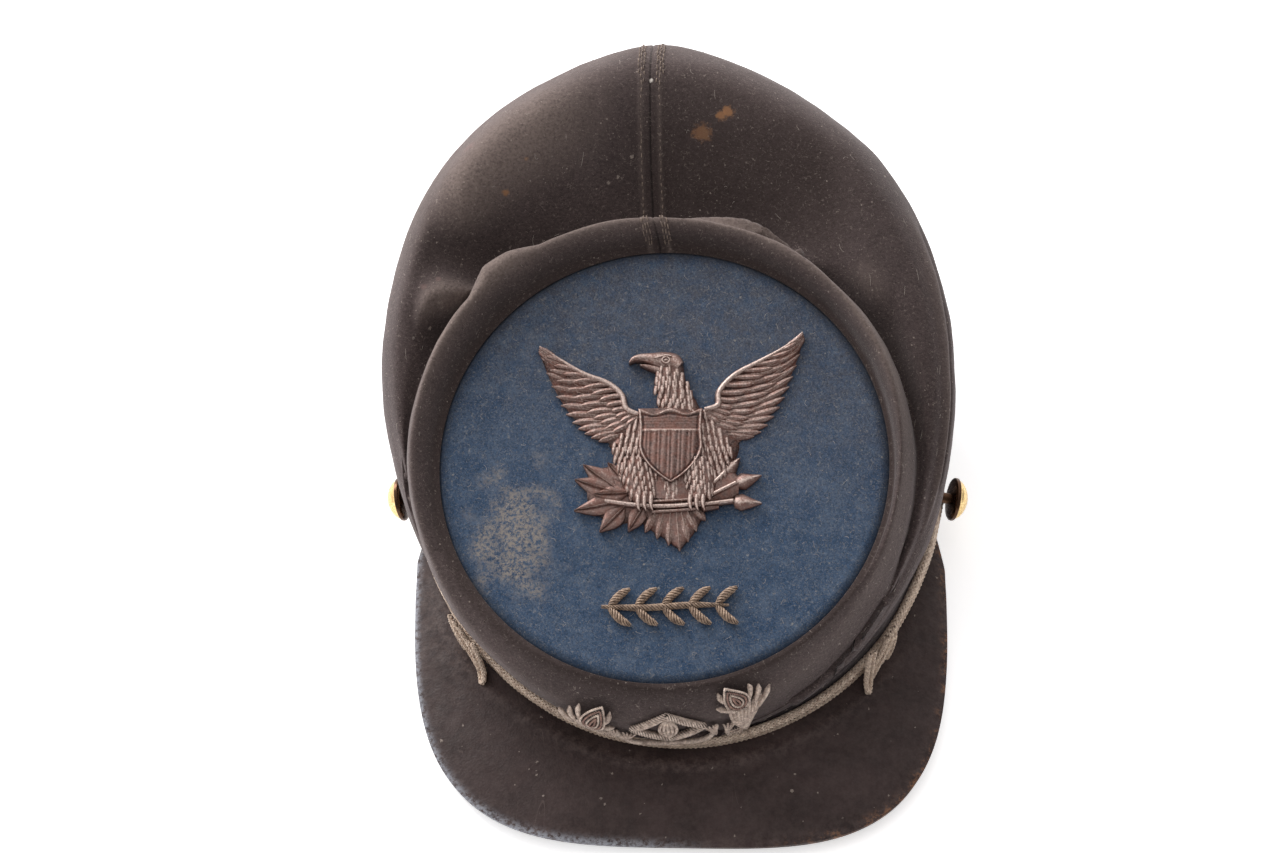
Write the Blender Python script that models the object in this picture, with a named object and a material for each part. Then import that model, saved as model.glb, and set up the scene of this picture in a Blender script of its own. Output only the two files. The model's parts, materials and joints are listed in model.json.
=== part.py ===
"""A kepi: a soft cloth cap whose crown leans forward under a stiff round top. It has a leather peak, a doubled
chin cord on two buttons, a cast eagle on the top, and embroidered ornaments.

Units are metres and +Z is up. The front is -Y, and the cap rests on z = 0 on its rim and on the edge of its
peak. The tables are in millimetres, with x and y measured from the middle of the head opening."""

import math

import bmesh
import bpy
import numpy as np
from mathutils import Matrix, Vector

MM = 0.001

# The middle of the head opening, placed so that the origin lies under the middle of the whole cap.
HEAD_CENTRE = np.array((1.37, 14.6, 0.0))

# Driving dimensions, in millimetres
HEAD_HALF_WIDTH = 83.4
HEAD_HALF_LENGTH = 104.0
BAND_THICKNESS = 2.4
CROWN_THICKNESS = 1.8
GAP = 0.3
RIM_RISE = 7.0  # how far the front of the rim stands above the rear of it, on the peak
RIM_RISE_ENDS_AT_COS = 0.55
CROWN_LEAN = 0.07  # how far the crown leans towards -X for each millimetre of height
PINCH_POWER = 6
DISC_THICKNESS = 1.8
DISC_MARGIN = 0.9
DISC_EDGE_ROUNDING = 0.6
PEAK_THICKNESS = 2.2
PEAK_TIP_ANGLE = math.radians(76)
PEAK_HALF_WIDTH = 83.8
PEAK_FRONT = 138.5
PEAK_STRAIGHT_TO = 38.0  # the sides of the peak run straight forward to here
PEAK_SQUARENESS = 3.5
PEAK_BOW = 1.6
PEAK_BOW_FULL_FROM = 30.0  # the width of leather from which the bow has its whole height
PEAK_TIP_CLEARANCE = 0.6
PEAK_SKEW = 0.018  # the peak reaches a little further forward on its +X side
CORD_DIAMETER = 2.8
CORD_PITCH = 3.1  # from the middle of the lower strand to the middle of the upper one
BUTTON_SHANK_RADIUS = 1.8
BUTTON_ANGLE = math.radians(80)
BUTTON_HEIGHT = 16.0
BUTTON_DROOP = math.radians(14)
# The button's profile, as (distance from the band, radius): its shank, its back plate and its dome
BUTTON_PROFILE = (
    (0.0, 0.0), (0.0, BUTTON_SHANK_RADIUS), (5.0, BUTTON_SHANK_RADIUS), (5.0, 6.4), (5.9, 7.0), (6.5, 7.0),
    (8.0, 6.2), (9.3, 4.6), (10.1, 2.4), (10.4, 0.0),
)
BADGE_LIFT = 0.3
THREAD_LIFT = 0.5
UNION_STEP = 0.03  # joined strips start at slightly different heights, so that no faces coincide

# How finely the soft forms are cut into facets
AROUND = 48
LOOPS_PER_STATION = 2
PEAK_COLUMNS = 39
DISC_SEGMENTS = 56
CORD_POINTS_PER_QUARTER = 15
SCROLL_POINTS = 22
BUTTON_COLUMNS = 16

# The crown's sections from the band seam up over the back and the roll to the edge of the disc. The pinch
# narrows the rear of a section, which makes the back of the crown a little pointed. The shift moves a whole
# section to +X, and the shear moves its front to +X and its back to -X.
CROWN_SECTIONS = {
    # name: half_width, y_front, y_back, z_front, z_side, z_back, pinch, shift, shear
    "seam": (83.9, -105.0, 103.5, 13.0, 27.0, 30.0, 0.0, 0.0, 0.0),
    "swell": (87.2, -105.2, 106.0, 13.4, 38.0, 44.0, 0.05, 0.0, 0.0),
    "bulge_low": (90.0, -105.4, 108.3, 13.7, 49.0, 58.0, 0.12, 0.2, 0.0),
    "bulge": (90.4, -105.5, 109.5, 13.9, 58.0, 72.0, 0.20, 0.4, 0.0),
    "shoulder": (89.2, -105.6, 106.5, 14.1, 64.0, 89.0, 0.26, 0.4, 0.0),
    "brow": (86.8, -105.7, 97.0, 14.3, 67.0, 102.5, 0.28, 0.2, 0.0),
    "ridge": (84.4, -105.8, 82.0, 14.5, 67.0, 107.5, 0.26, 0.0, 0.0),
    "ridge_inside": (81.6, -105.9, 61.0, 14.7, 63.0, 95.5, 0.18, -0.6, 0.0),
    "valley": (79.2, -106.0, 43.5, 15.0, 57.5, 81.0, 0.06, -1.4, -1.0),
    "roll_outside": (78.2, -107.2, 40.5, 19.0, 61.5, 85.5, 0.0, -2.2, -2.0),
    "roll_crest": (75.8, -108.2, 37.5, 27.0, 67.0, 91.0, 0.0, -2.8, -3.0),
    "roll_inside": (73.2, -106.4, 33.8, 35.0, 65.0, 88.5, 0.0, -2.0, -3.0),
    "cove": (71.4, -104.6, 32.4, 40.0, 61.9, 82.6, 0.0, -1.0, -2.6),
    "lip": (69.6, -102.6, 30.5, 40.8, 61.1, 81.4, 0.0, -0.8, -2.5),
}
STATIONS = {name: index for index, name in enumerate(CROWN_SECTIONS)}

# Ridges (height above 0) and creases (below 0) in the cloth, as straight lines between two places on the crown.
# A place is its angle from the front, in degrees towards +X, and the number of its section above.
FOLDS = {
    # name: angle_1, station_1, angle_2, station_2, height, half_width
    "left_pinch_ridge": (-140, 7.55, -113, 6.6, 4.2, 3.4),
    "left_pinch_hollow": (-132, 8.05, -113, 7.35, -4.0, 5.0),
    "left_rear_ridge": (-118, 6.9, -163, 7.0, 3.6, 11.0),
    "left_rear_hollow": (-140, 7.9, -168, 8.1, -1.6, 8.0),
    "right_rear_hollow": (176, 7.5, 140, 6.7, -4.2, 15.0),
    "right_rear_fold": (164, 8.0, 142, 7.9, 2.4, 6.0),
    "right_side_fold": (141, 7.8, 114, 7.0, 2.6, 7.0),
    "right_deep_valley": (140, 8.4, 110, 7.8, -4.0, 5.5),
    "right_side_valley": (110, 7.9, 70, 7.7, -2.4, 6.5),
    "right_double_edge": (112, 4.5, 72, 4.4, -1.6, 3.2),
    "right_lower_edge": (112, 3.8, 72, 3.7, 1.0, 4.0),
    "seam_groove": (-178, 4.0, -178, 9.0, -0.8, 5.0),
}
FOLD_REACH_PER_RADIAN = 84.0
FOLD_REACH_PER_STATION = 11.0
FOLDS_RISE_OVER = 1.5  # stations above the band seam over which the folds come in
FOLDS_FALL_OVER = 2.0  # stations below the disc over which they end

# The cross-section of every domed strip, as (across, share of its height)
STRIP_PROFILE = ((-1, 0), (-0.92, 0.5), (-0.5, 1), (0.5, 1), (0.92, 0.5), (1, 0))

# The cast eagle, as strips in the plane of the disc, from the eagle's middle
EAGLE_MIDDLE = (1.6, 7.2)
EAGLE_TURN = math.radians(-0.8)
EAGLE_STRIPS = {
    # name: height, rows of (x, y, half_width)
    "body": (
        3.0,
        (
            (1.5, 9.5, 12.0), (2.0, 4.0, 18.0), (2.0, -1.0, 20.5),
            (1.5, -6.0, 18.5), (0.5, -12.0, 14.5), (0.0, -20.0, 11.0),
        ),
    ),
    "tail": (2.2, ((-1.0, -17.0, 13.0), (0.0, -25.0, 10.0), (1.5, -31.0, 5.0), (2.0, -35.0, 0.5))),
    "neck": (
        3.2,
        ((2.4, 6.0, 9.0), (2.2, 12.0, 6.6), (0.8, 17.0, 4.6), (0.0, 21.5, 4.2), (-0.8, 26.0, 3.6)),
    ),
    "head": (
        3.4,
        ((1.5, 25.0, 2.6), (-2.5, 25.7, 3.4), (-6.5, 26.6, 2.3), (-10.2, 26.9, 1.5), (-12.3, 25.4, 0.4)),
    ),
    "left_wing": (
        2.6,
        (
            (-11.0, 0.0, 8.0), (-17.5, 6.0, 9.6), (-24.0, 12.6, 9.0),
            (-31.0, 19.6, 6.4), (-36.6, 26.2, 3.4), (-40.2, 31.0, 0.5),
        ),
    ),
    "right_wing": (
        2.6,
        (
            (13.0, 2.0, 8.0), (20.0, 9.0, 9.8), (27.0, 17.0, 8.8),
            (33.5, 24.6, 6.0), (38.4, 30.8, 3.0), (41.2, 35.0, 0.5),
        ),
    ),
    "shield": (
        4.0,
        ((0.3, 9.0, 9.8), (0.3, 0.0, 9.6), (0.3, -5.0, 8.2), (0.3, -10.0, 5.0), (0.3, -14.0, 0.6)),
    ),
    "upper_leaf": (2.2, ((-10.0, -13.0, 3.0), (-20.0, -12.6, 4.2), (-26.0, -11.4, 3.0), (-29.4, -10.8, 0.6))),
    "middle_leaf": (2.2, ((-10.0, -16.5, 3.0), (-20.0, -18.4, 4.6), (-27.0, -20.4, 3.2), (-30.4, -21.2, 0.6))),
    "lower_leaf": (2.2, ((-8.0, -19.0, 3.0), (-14.0, -22.8, 4.2), (-18.6, -26.4, 3.0), (-21.4, -29.2, 0.6))),
    "upper_arrow": (2.2, ((10.0, -15.0, 2.8), (18.0, -9.4, 2.6), (20.8, -6.4, 0.5))),
    "middle_arrow": (2.2, ((10.0, -17.0, 2.4), (21.0, -14.2, 3.0), (27.6, -12.0, 0.5))),
    "lower_arrow": (2.2, ((6.0, -19.0, 3.0), (21.0, -18.6, 2.8), (27.6, -19.6, 0.5))),
}

# The laurel sprig in the disc's plane, from the disc's middle
SPRIG_MIDDLE = (0.3, -45.6)
SPRIG_HALF_LENGTH = 20.5
SPRIG_STEM_HALF_WIDTH = 1.2
SPRIG_LEAF_PAIRS = 5
SPRIG_LEAF_LENGTH = 8.6
SPRIG_LEAF_HALF_WIDTH = 1.9
SPRIG_LEAF_ROWS = ((0, 0.5), (0.35, 1), (0.75, 0.8), (1, 0.15))  # (share of the length, share of the width)
SPRIG_LEAF_ANGLE = math.radians(42)
SPRIG_HEIGHT = 2.2
SPRIG_LEAF_HEIGHT = 1.4

# The ornaments on the front face. A place is (across, rise); its rise is measured up the cloth from the valley.
FRONT_MIDDLE = -1.8  # the ornaments on the front face sit a little towards -X
# The right horn. The left one mirrors it, and its foot has sunk into a crease.
HORN_STRIPS = {
    # name: height, rows of (across, rise, half_width)
    "body": (2.4, ((22.8, 0.9, 1.2), (22.6, 5.0, 2.6), (23.1, 10.0, 4.4), (23.8, 16.0, 5.6))),
    "flame": (3.4, ((23.0, 14.0, 2.4), (20.8, 19.4, 3.8), (18.6, 24.0, 2.2), (17.3, 26.4, 0.5))),
    "outer_tongue": (2.2, ((26.8, 11.0, 1.1), (30.6, 16.0, 1.1), (32.8, 19.4, 0.8))),
    "upper_tongue": (2.2, ((26.0, 14.0, 1.1), (28.0, 19.5, 1.1), (28.5, 23.6, 0.8))),
    "middle_tongue": (2.2, ((24.6, 16.0, 1.1), (25.7, 21.5, 1.1), (26.0, 25.4, 0.8))),
    "inner_upper_tongue": (2.2, ((21.0, 16.5, 1.1), (17.0, 20.8, 1.1), (14.6, 24.6, 0.8))),
    "inner_lower_tongue": (2.2, ((21.0, 13.0, 1.1), (17.4, 16.6, 1.1), (13.9, 18.6, 0.8))),
}
LEFT_HORN_SHIFT = 2.2
LEFT_HORN_RISE = ((0.0, 0.4), (10.0, 3.6), (16.0, 8.6), (27.0, 20.8))  # (on the right, on the left)
LOZENGE_MIDDLE = (-0.5, 10.4)
LOZENGE_HALF_WIDTH = 11.2
LOZENGE_HALF_HEIGHT = 7.2
LOZENGE_INNER_HALF_WIDTH = 3.4
LOZENGE_STROKE_HALF_WIDTH = 1.3
LOZENGE_HEIGHT = 1.9
SCROLL_RADIUS = 0.9
SCROLL_ROUTE = (
    # across, rise, lift from the cloth
    (-16.6, 5.6, 1.3), (-15.2, 2.2, 1.5), (-11.5, 0.5, 2.2), (-6.0, 0.0, 1.9), (0.0, 0.0, 1.7), (6.0, 0.0, 1.7),
    (10.0, 0.8, 1.6), (12.7, 3.8, 1.4), (14.2, 8.0, 1.3),
)

# The chin cord's route, as (angle from the front, height of the lower strand above the rim)
CORD_ROUTE = ((0, 1.9), (20, 1.9), (38, 2.0), (52, 2.6), (64, 5.6), (72, 8.0))

# The wrap that holds both strands of the cord together on each side: two links that cross them steeply, and an
# end that hangs over the peak
WRAP_LINKS = {
    # name: places as (angle from the front, height above the lower strand, lift from the band)
    "rear_link": ((49.4, 12.0, 4.8), (49.2, 7.6, 5.0), (48.0, 2.8, 5.1), (45.2, -1.6, 5.0)),
    "front_link": ((48.6, 9.0, 4.9), (46.6, 6.2, 5.0), (44.4, 3.0, 5.1), (41.6, 0.8, 5.8)),
    "end": ((43.4, 12.0, 4.8), (42.4, 8.0, 5.1), (41.4, 3.6, 5.8), (40.4, 1.0, 6.8), (39.5, 0.2, 8.3)),
}
LEFT_WRAP_SHIFT = 2.6  # degrees further round
WRAP_HALF_WIDTH = 1.9
WRAP_HALF_THICKNESS = 1.1
WRAP_TAPER = 0.6  # the width of a link at its two ends, as a share of its width


# Helpers for tables, curves and meshes


def clear_scene():
    for old in list(bpy.data.objects):
        bpy.data.objects.remove(old)


def smooth_row(rows, place):
    """A row between the rows of a table, on a Catmull-Rom curve through them."""
    rows = np.asarray(rows, float)
    first = min(max(int(math.floor(place)), 0), len(rows) - 2)
    part = place - first
    before = rows[first - 1] if first else 2 * rows[0] - rows[1]
    after = rows[first + 2] if first + 2 < len(rows) else 2 * rows[-1] - rows[-2]
    start, end = rows[first], rows[first + 1]
    return start + part * (
        (end - before) / 2
        + part * (2 * before - 5 * start + 4 * end - after) / 2
        + part**2 * (3 * start - before - 3 * end + after) / 2
    )


def smooth_step(value):
    value = min(max(value, 0.0), 1.0)
    return value * value * (3 - 2 * value)


def grid_mesh(rows):
    """A mesh through rows of points. Points in the same place are merged, and open ends are filled."""
    rows = np.asarray(rows)
    mesh = bmesh.new()
    bmesh.ops.create_grid(mesh, x_segments=rows.shape[1] - 1, y_segments=rows.shape[0] - 1, size=1)
    for vert, place in zip(mesh.verts, (rows.reshape(-1, 3) + HEAD_CENTRE) * MM):
        vert.co = place
    bmesh.ops.remove_doubles(mesh, verts=mesh.verts, dist=1e-6)
    return mesh


def swept_mesh(sections, ring=False):
    """A closed solid through closed sections: a ring, or with its two ends filled."""
    sections = [list(section) + [section[0]] for section in sections]
    mesh = grid_mesh(sections + sections[:1] if ring else sections)
    bmesh.ops.holes_fill(mesh, edges=mesh.edges, sides=0)
    bmesh.ops.recalc_face_normals(mesh, faces=mesh.faces)
    return mesh


def make_object(name, mesh, material, sharp_degrees=50):
    data = bpy.data.meshes.new(name)
    mesh.to_mesh(data)
    mesh.free()
    data.shade_smooth()
    data.set_sharp_from_angle(angle=math.radians(sharp_degrees))
    data.materials.append(material)
    made = bpy.data.objects.new(name, data)
    bpy.context.scene.collection.objects.link(made)
    return made


def fuse(name, meshes, material):
    """One solid from overlapping closed meshes, by a Boolean union with the rest of them."""
    helpers = bpy.data.collections.new(name + "_strips")
    helpers.hide_render = True
    bpy.context.scene.collection.children.link(helpers)
    made = make_object(name, meshes[0], material)
    for index, mesh in enumerate(meshes[1:]):
        helper = make_object(f"{name}_strip_{index}", mesh, material)
        bpy.context.scene.collection.objects.unlink(helper)
        helpers.objects.link(helper)
        helper.hide_render = True
        helper.display_type = "WIRE"
    union = made.modifiers.new("union", "BOOLEAN")
    union.operation = "UNION"
    union.operand_type = "COLLECTION"
    union.collection = helpers
    return made


def make_material(name, colour, roughness, metallic=0.0):
    material = bpy.data.materials.new(name)
    material.use_nodes = True
    shader = material.node_tree.nodes["Principled BSDF"]
    shader.inputs["Base Color"].default_value = (*colour, 1.0)
    shader.inputs["Roughness"].default_value = roughness
    shader.inputs["Metallic"].default_value = metallic
    return material


# The soft forms: every ring is an oval round the head opening, with its own heights at front, sides and back


def ring_point(section, angle):
    """A point of an oval section, at an angle from the front towards +X."""
    half_width, y_front, y_back, z_front, z_side, z_back, pinch, shift, shear = section
    forward = math.cos(angle)
    half_width *= 1 - pinch * min(forward, 0.0) ** PINCH_POWER
    y = (y_front + y_back) / 2 - (y_back - y_front) / 2 * forward
    z = z_side + (z_front - z_back) / 2 * forward + ((z_front + z_back) / 2 - z_side) * forward**2
    x = half_width * math.sin(angle) - CROWN_LEAN * z + shift + shear * forward
    return np.array((x, y, z))


def fold_height(angle, station):
    """The height of all the folds at a place, in millimetres along the outward direction."""
    height = 0.0
    for angle_1, station_1, angle_2, station_2, fold, half_width in FOLDS.values():
        start = np.array((math.radians(angle_1) * FOLD_REACH_PER_RADIAN, station_1 * FOLD_REACH_PER_STATION))
        end = np.array((math.radians(angle_2) * FOLD_REACH_PER_RADIAN, station_2 * FOLD_REACH_PER_STATION))
        run = end - start
        for turn in (-2 * math.pi, 0.0, 2 * math.pi):
            here = np.array(((angle + turn) * FOLD_REACH_PER_RADIAN, station * FOLD_REACH_PER_STATION))
            part = min(max(np.dot(here - start, run) / np.dot(run, run), 0.0), 1.0)
            away = np.linalg.norm(here - start - part * run)
            height += fold * math.exp(-((away / half_width) ** 2))
    return height


def crown_base(angle, station):
    return ring_point(smooth_row(list(CROWN_SECTIONS.values()), station), angle)


def crown_normal(angle, station):
    step = 0.01
    last = len(CROWN_SECTIONS) - 1
    up = crown_base(angle, min(station + step, last)) - crown_base(angle, max(station - step, 0))
    along = crown_base(angle + step, station) - crown_base(angle - step, station)
    normal = np.cross(along, up)
    return normal / np.linalg.norm(normal)


def crown_point(angle, station, lift=0.0):
    edge = smooth_step(station / FOLDS_RISE_OVER) * smooth_step((STATIONS["lip"] - station) / FOLDS_FALL_OVER)
    raised = lift + edge * fold_height(angle, station)
    return crown_base(angle, station) + raised * crown_normal(angle, station)


def build_crown(material):
    """The cloth tube from the band seam up to the disc, as a surface that is then given its thickness."""
    angles = [-math.pi + 2 * math.pi * i / AROUND for i in range(AROUND)]
    stations = np.arange(STATIONS["lip"] * LOOPS_PER_STATION + 1) / LOOPS_PER_STATION
    rows = [[crown_point(angle, station) for angle in angles] for station in stations]
    mesh = grid_mesh([row + row[:1] for row in rows])
    crown = make_object("crown", mesh, material, sharp_degrees=180)
    wall = crown.modifiers.new("wall", "SOLIDIFY")
    wall.thickness = CROWN_THICKNESS * MM
    wall.offset = -1
    return crown


def rim_height(angle):
    return RIM_RISE * smooth_step(math.cos(angle) / RIM_RISE_ENDS_AT_COS)


def band_point(angle, height, inset=0.0):
    """A point of the band's outer face, which stands nearly upright from the rim to the crown seam."""
    seam = ring_point(CROWN_SECTIONS["seam"], angle)
    rim = np.array((HEAD_HALF_WIDTH * math.sin(angle), -HEAD_HALF_LENGTH * math.cos(angle), rim_height(angle)))
    place = rim + (seam - rim) * (height - rim[2]) / (seam[2] - rim[2])
    outward = np.array((math.sin(angle) / HEAD_HALF_WIDTH, -math.cos(angle) / HEAD_HALF_LENGTH, 0.0))
    return place - inset * outward / np.linalg.norm(outward)


def build_band(material):
    sections = []
    for i in range(AROUND):
        angle = 2 * math.pi * i / AROUND
        low = rim_height(angle)
        high = ring_point(CROWN_SECTIONS["seam"], angle)[2] - GAP
        heights = (low, (low + high) / 2, high)
        outside = [band_point(angle, height) for height in heights]
        inside = [band_point(angle, height, BAND_THICKNESS) for height in reversed(heights)]
        sections.append(outside + inside)
    return make_object("band", swept_mesh(sections, ring=True), material)


def disc_frame():
    """The middle of the disc's upper face and its three directions: right, up its slope, and out of it."""
    _, y_front, y_back, z_front, _, z_back, _, shift, _ = CROWN_SECTIONS["lip"]
    z = (z_front + z_back) / 2
    middle = np.array((shift - CROWN_LEAN * z, (y_front + y_back) / 2, z))
    up = np.array((-CROWN_LEAN * (z_back - z_front), y_back - y_front, z_back - z_front))
    half_length = np.linalg.norm(up) / 2
    up /= 2 * half_length
    right = np.array((1.0, 0.0, 0.0)) - up[0] * up
    right /= np.linalg.norm(right)
    return middle, right, up, np.cross(right, up), half_length


def on_disc(x, y, lift=0.0):
    middle, right, up, out, _ = disc_frame()
    return middle + x * right + y * up + lift * out


def build_disc(material):
    middle, _, up, out, half_length = disc_frame()
    half_width, shear = CROWN_SECTIONS["lip"][0], CROWN_SECTIONS["lip"][8]
    mesh = bmesh.new()
    bmesh.ops.create_cone(
        mesh, cap_ends=True, segments=DISC_SEGMENTS, radius1=1.0, radius2=1.0, depth=DISC_THICKNESS * MM
    )
    scale = Vector(((half_width - DISC_MARGIN) * MM, (half_length - DISC_MARGIN) * MM, 1.0))
    bmesh.ops.scale(mesh, vec=scale, verts=mesh.verts)
    rims = [edge for edge in mesh.edges if abs(edge.verts[0].co.z - edge.verts[1].co.z) < MM / 10]
    bmesh.ops.bevel(mesh, geom=rims, offset=DISC_EDGE_ROUNDING * MM, segments=1, profile=0.5, affect="EDGES")
    place = (middle - out * DISC_THICKNESS / 2 + HEAD_CENTRE) * MM
    slanted_up = up - (shear / half_length, 0.0, 0.0)
    turn = Matrix(((1.0, 0.0, 0.0), slanted_up, out)).transposed().to_4x4()
    bmesh.ops.transform(mesh, matrix=Matrix.Translation(place) @ turn, verts=mesh.verts)
    return make_object("crown_disc", mesh, material)


# The peak


def peak_outline(count):
    """Even points along the outer edge of the peak, from one tip round the front to the other."""
    turns = np.linspace(-math.pi / 2, math.pi / 2, 181)
    power = 2 / PEAK_SQUARENESS
    x = PEAK_HALF_WIDTH * np.sign(np.sin(turns)) * np.abs(np.sin(turns)) ** power
    y = -PEAK_STRAIGHT_TO - (PEAK_FRONT - PEAK_STRAIGHT_TO) * np.abs(np.cos(turns)) ** power
    tip_x = (HEAD_HALF_WIDTH + PEAK_TIP_CLEARANCE) * math.sin(PEAK_TIP_ANGLE)
    tip_y = -HEAD_HALF_LENGTH * math.cos(PEAK_TIP_ANGLE)
    x = np.concatenate(((-tip_x,), x, (tip_x,)))
    y = np.concatenate(((tip_y,), y - PEAK_SKEW * x[1:-1], (tip_y,)))
    run = np.concatenate(((0.0,), np.cumsum(np.hypot(np.diff(x), np.diff(y)))))
    even = np.linspace(0, run[-1], count)
    return np.interp(even, run, x), np.interp(even, run, y)


def build_peak(material):
    """Leather that leaves the rim under the band and comes down to rest on its own outer edge."""
    outer_x, outer_y = peak_outline(PEAK_COLUMNS)
    sections = []
    for i in range(PEAK_COLUMNS):
        angle = PEAK_TIP_ANGLE * (2 * i / (PEAK_COLUMNS - 1) - 1)
        inner = band_point(angle, rim_height(angle), BAND_THICKNESS)
        inner[2] -= GAP
        outer = np.array((outer_x[i], outer_y[i], PEAK_THICKNESS))
        top = []
        for part in (0.0, 0.25, 0.5, 0.75, 1.0):
            place = inner + (outer - inner) * part
            reach = min(np.linalg.norm((outer - inner)[:2]) / PEAK_BOW_FULL_FROM, 1.0)
            place[2] += PEAK_BOW * reach * math.sin(math.pi * part)
            top.append(place)
        bottom = [place - (0, 0, PEAK_THICKNESS) for place in reversed(top)]
        sections.append(top + bottom)
    return make_object("peak", swept_mesh(sections), material)


# Ornaments, as domed strips that follow the disc or the front face


def strip_mesh(rows, place, low, high):
    """A closed domed strip down rows of (x, y, half_width), laid by place(x, y, lift)."""
    rows = np.asarray(rows, float)
    sections = []
    for i, (x, y, half_width) in enumerate(rows):
        run = rows[min(i + 1, len(rows) - 1)][:2] - rows[max(i - 1, 0)][:2]
        run /= np.linalg.norm(run)
        side = np.array((run[1], -run[0])) * half_width
        sections.append(
            [
                place(x + side[0] * part, y + side[1] * part, low + (high - low) * share)
                for part, share in STRIP_PROFILE
            ]
        )
    return swept_mesh(sections)


def on_badge(x, y, lift):
    cos, sin = math.cos(EAGLE_TURN), math.sin(EAGLE_TURN)
    return on_disc(EAGLE_MIDDLE[0] + x * cos - y * sin, EAGLE_MIDDLE[1] + x * sin + y * cos, lift)


def build_eagle(material):
    meshes = []
    for index, (high, rows) in enumerate(EAGLE_STRIPS.values()):
        low = BADGE_LIFT + index * UNION_STEP
        meshes.append(strip_mesh(rows, on_badge, low, low + high))
    return fuse("eagle_badge", meshes, material)


def on_sprig(x, y, lift):
    return on_disc(SPRIG_MIDDLE[0] + x, SPRIG_MIDDLE[1] + y, lift)


def build_sprig(material):
    """A stem with pairs of leaves that lean towards its tip."""
    ends = ((-SPRIG_HALF_LENGTH, 0.0, 0.5), (0.0, 0.0, SPRIG_STEM_HALF_WIDTH), (SPRIG_HALF_LENGTH, 0.0, 0.5))
    stem = [smooth_row(ends, place) for place in (0, 0.05, 0.5, 1, 1.5, 1.95, 2)]
    meshes = [strip_mesh(stem, on_sprig, GAP, SPRIG_HEIGHT)]
    reach_x = SPRIG_LEAF_LENGTH * math.cos(SPRIG_LEAF_ANGLE)
    reach_y = SPRIG_LEAF_LENGTH * math.sin(SPRIG_LEAF_ANGLE)
    for pair in range(SPRIG_LEAF_PAIRS):
        x = SPRIG_HALF_LENGTH * (2 * (pair + 0.3) / SPRIG_LEAF_PAIRS - 1)
        for side, low in ((-1, GAP + UNION_STEP), (1, GAP + 2 * UNION_STEP)):
            rows = [
                (x + reach_x * part, side * reach_y * part, SPRIG_LEAF_HALF_WIDTH * width)
                for part, width in SPRIG_LEAF_ROWS
            ]
            meshes.append(strip_mesh(rows, on_sprig, low, low + SPRIG_LEAF_HEIGHT))
    return fuse("disc_sprig", meshes, material)


def on_front(across, rise, lift):
    """A place on the front face of the crown: across it, and up the cloth from the valley."""
    stations = np.linspace(STATIONS["valley"], STATIONS["lip"], 41)
    profile = np.array([crown_base(0.0, station) for station in stations])
    run = np.concatenate(((0.0,), np.cumsum(np.linalg.norm(np.diff(profile, axis=0), axis=1))))
    station = float(np.interp(rise, run, stations))
    section = smooth_row(list(CROWN_SECTIONS.values()), station)
    half_width, shift, shear = section[0], section[7], section[8]
    return crown_point((FRONT_MIDDLE + across - shift - shear) / half_width, station, lift)


def build_horn(name, side, material):
    def place(x, y, lift):
        if side < 0:
            x, y = x + LEFT_HORN_SHIFT, np.interp(y, *np.transpose(LEFT_HORN_RISE))
        return on_front(side * x, y, lift)

    meshes = []
    for index, (high, rows) in enumerate(HORN_STRIPS.values()):
        low = THREAD_LIFT + index * UNION_STEP
        meshes.append(strip_mesh(rows, place, low, low + high))
    return fuse(name, meshes, material)


def build_lozenge(material):
    """The four strokes of a lozenge, and a narrow filled one inside it from its lower to its upper corner."""
    x, y = LOZENGE_MIDDLE
    across, up, half = LOZENGE_HALF_WIDTH, LOZENGE_HALF_HEIGHT, LOZENGE_STROKE_HALF_WIDTH
    corners = np.array(((x, y - up), (x + across, y), (x, y + up), (x - across, y)))
    meshes = [
        strip_mesh(
            ((x, y - up - half, half), (x, y, LOZENGE_INNER_HALF_WIDTH), (x, y + up + half, half)),
            on_front, THREAD_LIFT, THREAD_LIFT + LOZENGE_HEIGHT,
        )
    ]
    for index, (start, end) in enumerate(zip(corners, np.roll(corners, -1, axis=0))):
        reach = half * (end - start) / np.linalg.norm(end - start) / 2
        rows = [(*(start - reach), half), (*((start + end) / 2), half), (*(end + reach), half)]
        low = THREAD_LIFT + (index + 1) * UNION_STEP
        meshes.append(strip_mesh(rows, on_front, low, low + LOZENGE_HEIGHT))
    return fuse("front_lozenge", meshes, material)


def make_tube(name, points, radius, material, cyclic=False, resolution=1):
    """A round cord through points, as a curve with a bevel."""
    curve = bpy.data.curves.new(name, "CURVE")
    curve.dimensions = "3D"
    curve.bevel_depth = radius * MM
    curve.bevel_resolution = resolution
    curve.use_fill_caps = not cyclic
    spline = curve.splines.new("POLY")
    spline.points.add(len(points) - 1)
    for point, place in zip(spline.points, points):
        point.co = (*((place + HEAD_CENTRE) * MM), 1.0)
    spline.use_cyclic_u = cyclic
    curve.materials.append(material)
    made = bpy.data.objects.new(name, curve)
    bpy.context.scene.collection.objects.link(made)
    return made


def build_scroll(material):
    places = np.linspace(0, len(SCROLL_ROUTE) - 1, SCROLL_POINTS)
    points = [on_front(*smooth_row(SCROLL_ROUTE, place)) for place in places]
    return make_tube("front_scroll", points, SCROLL_RADIUS, material)


# The chin cord, its wraps and its buttons


def button_frame(side):
    """Where the shank leaves the band, and the way it points."""
    root = band_point(side * BUTTON_ANGLE, BUTTON_HEIGHT)
    outward = np.array((side * math.cos(BUTTON_DROOP), 0.0, -math.sin(BUTTON_DROOP)))
    return root, outward


def cord_place(angle, above_rim):
    """The middle of a strand that lies on the band."""
    height = rim_height(angle) + above_rim
    return band_point(angle, height, -(CORD_DIAMETER / 2 + GAP))


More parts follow.
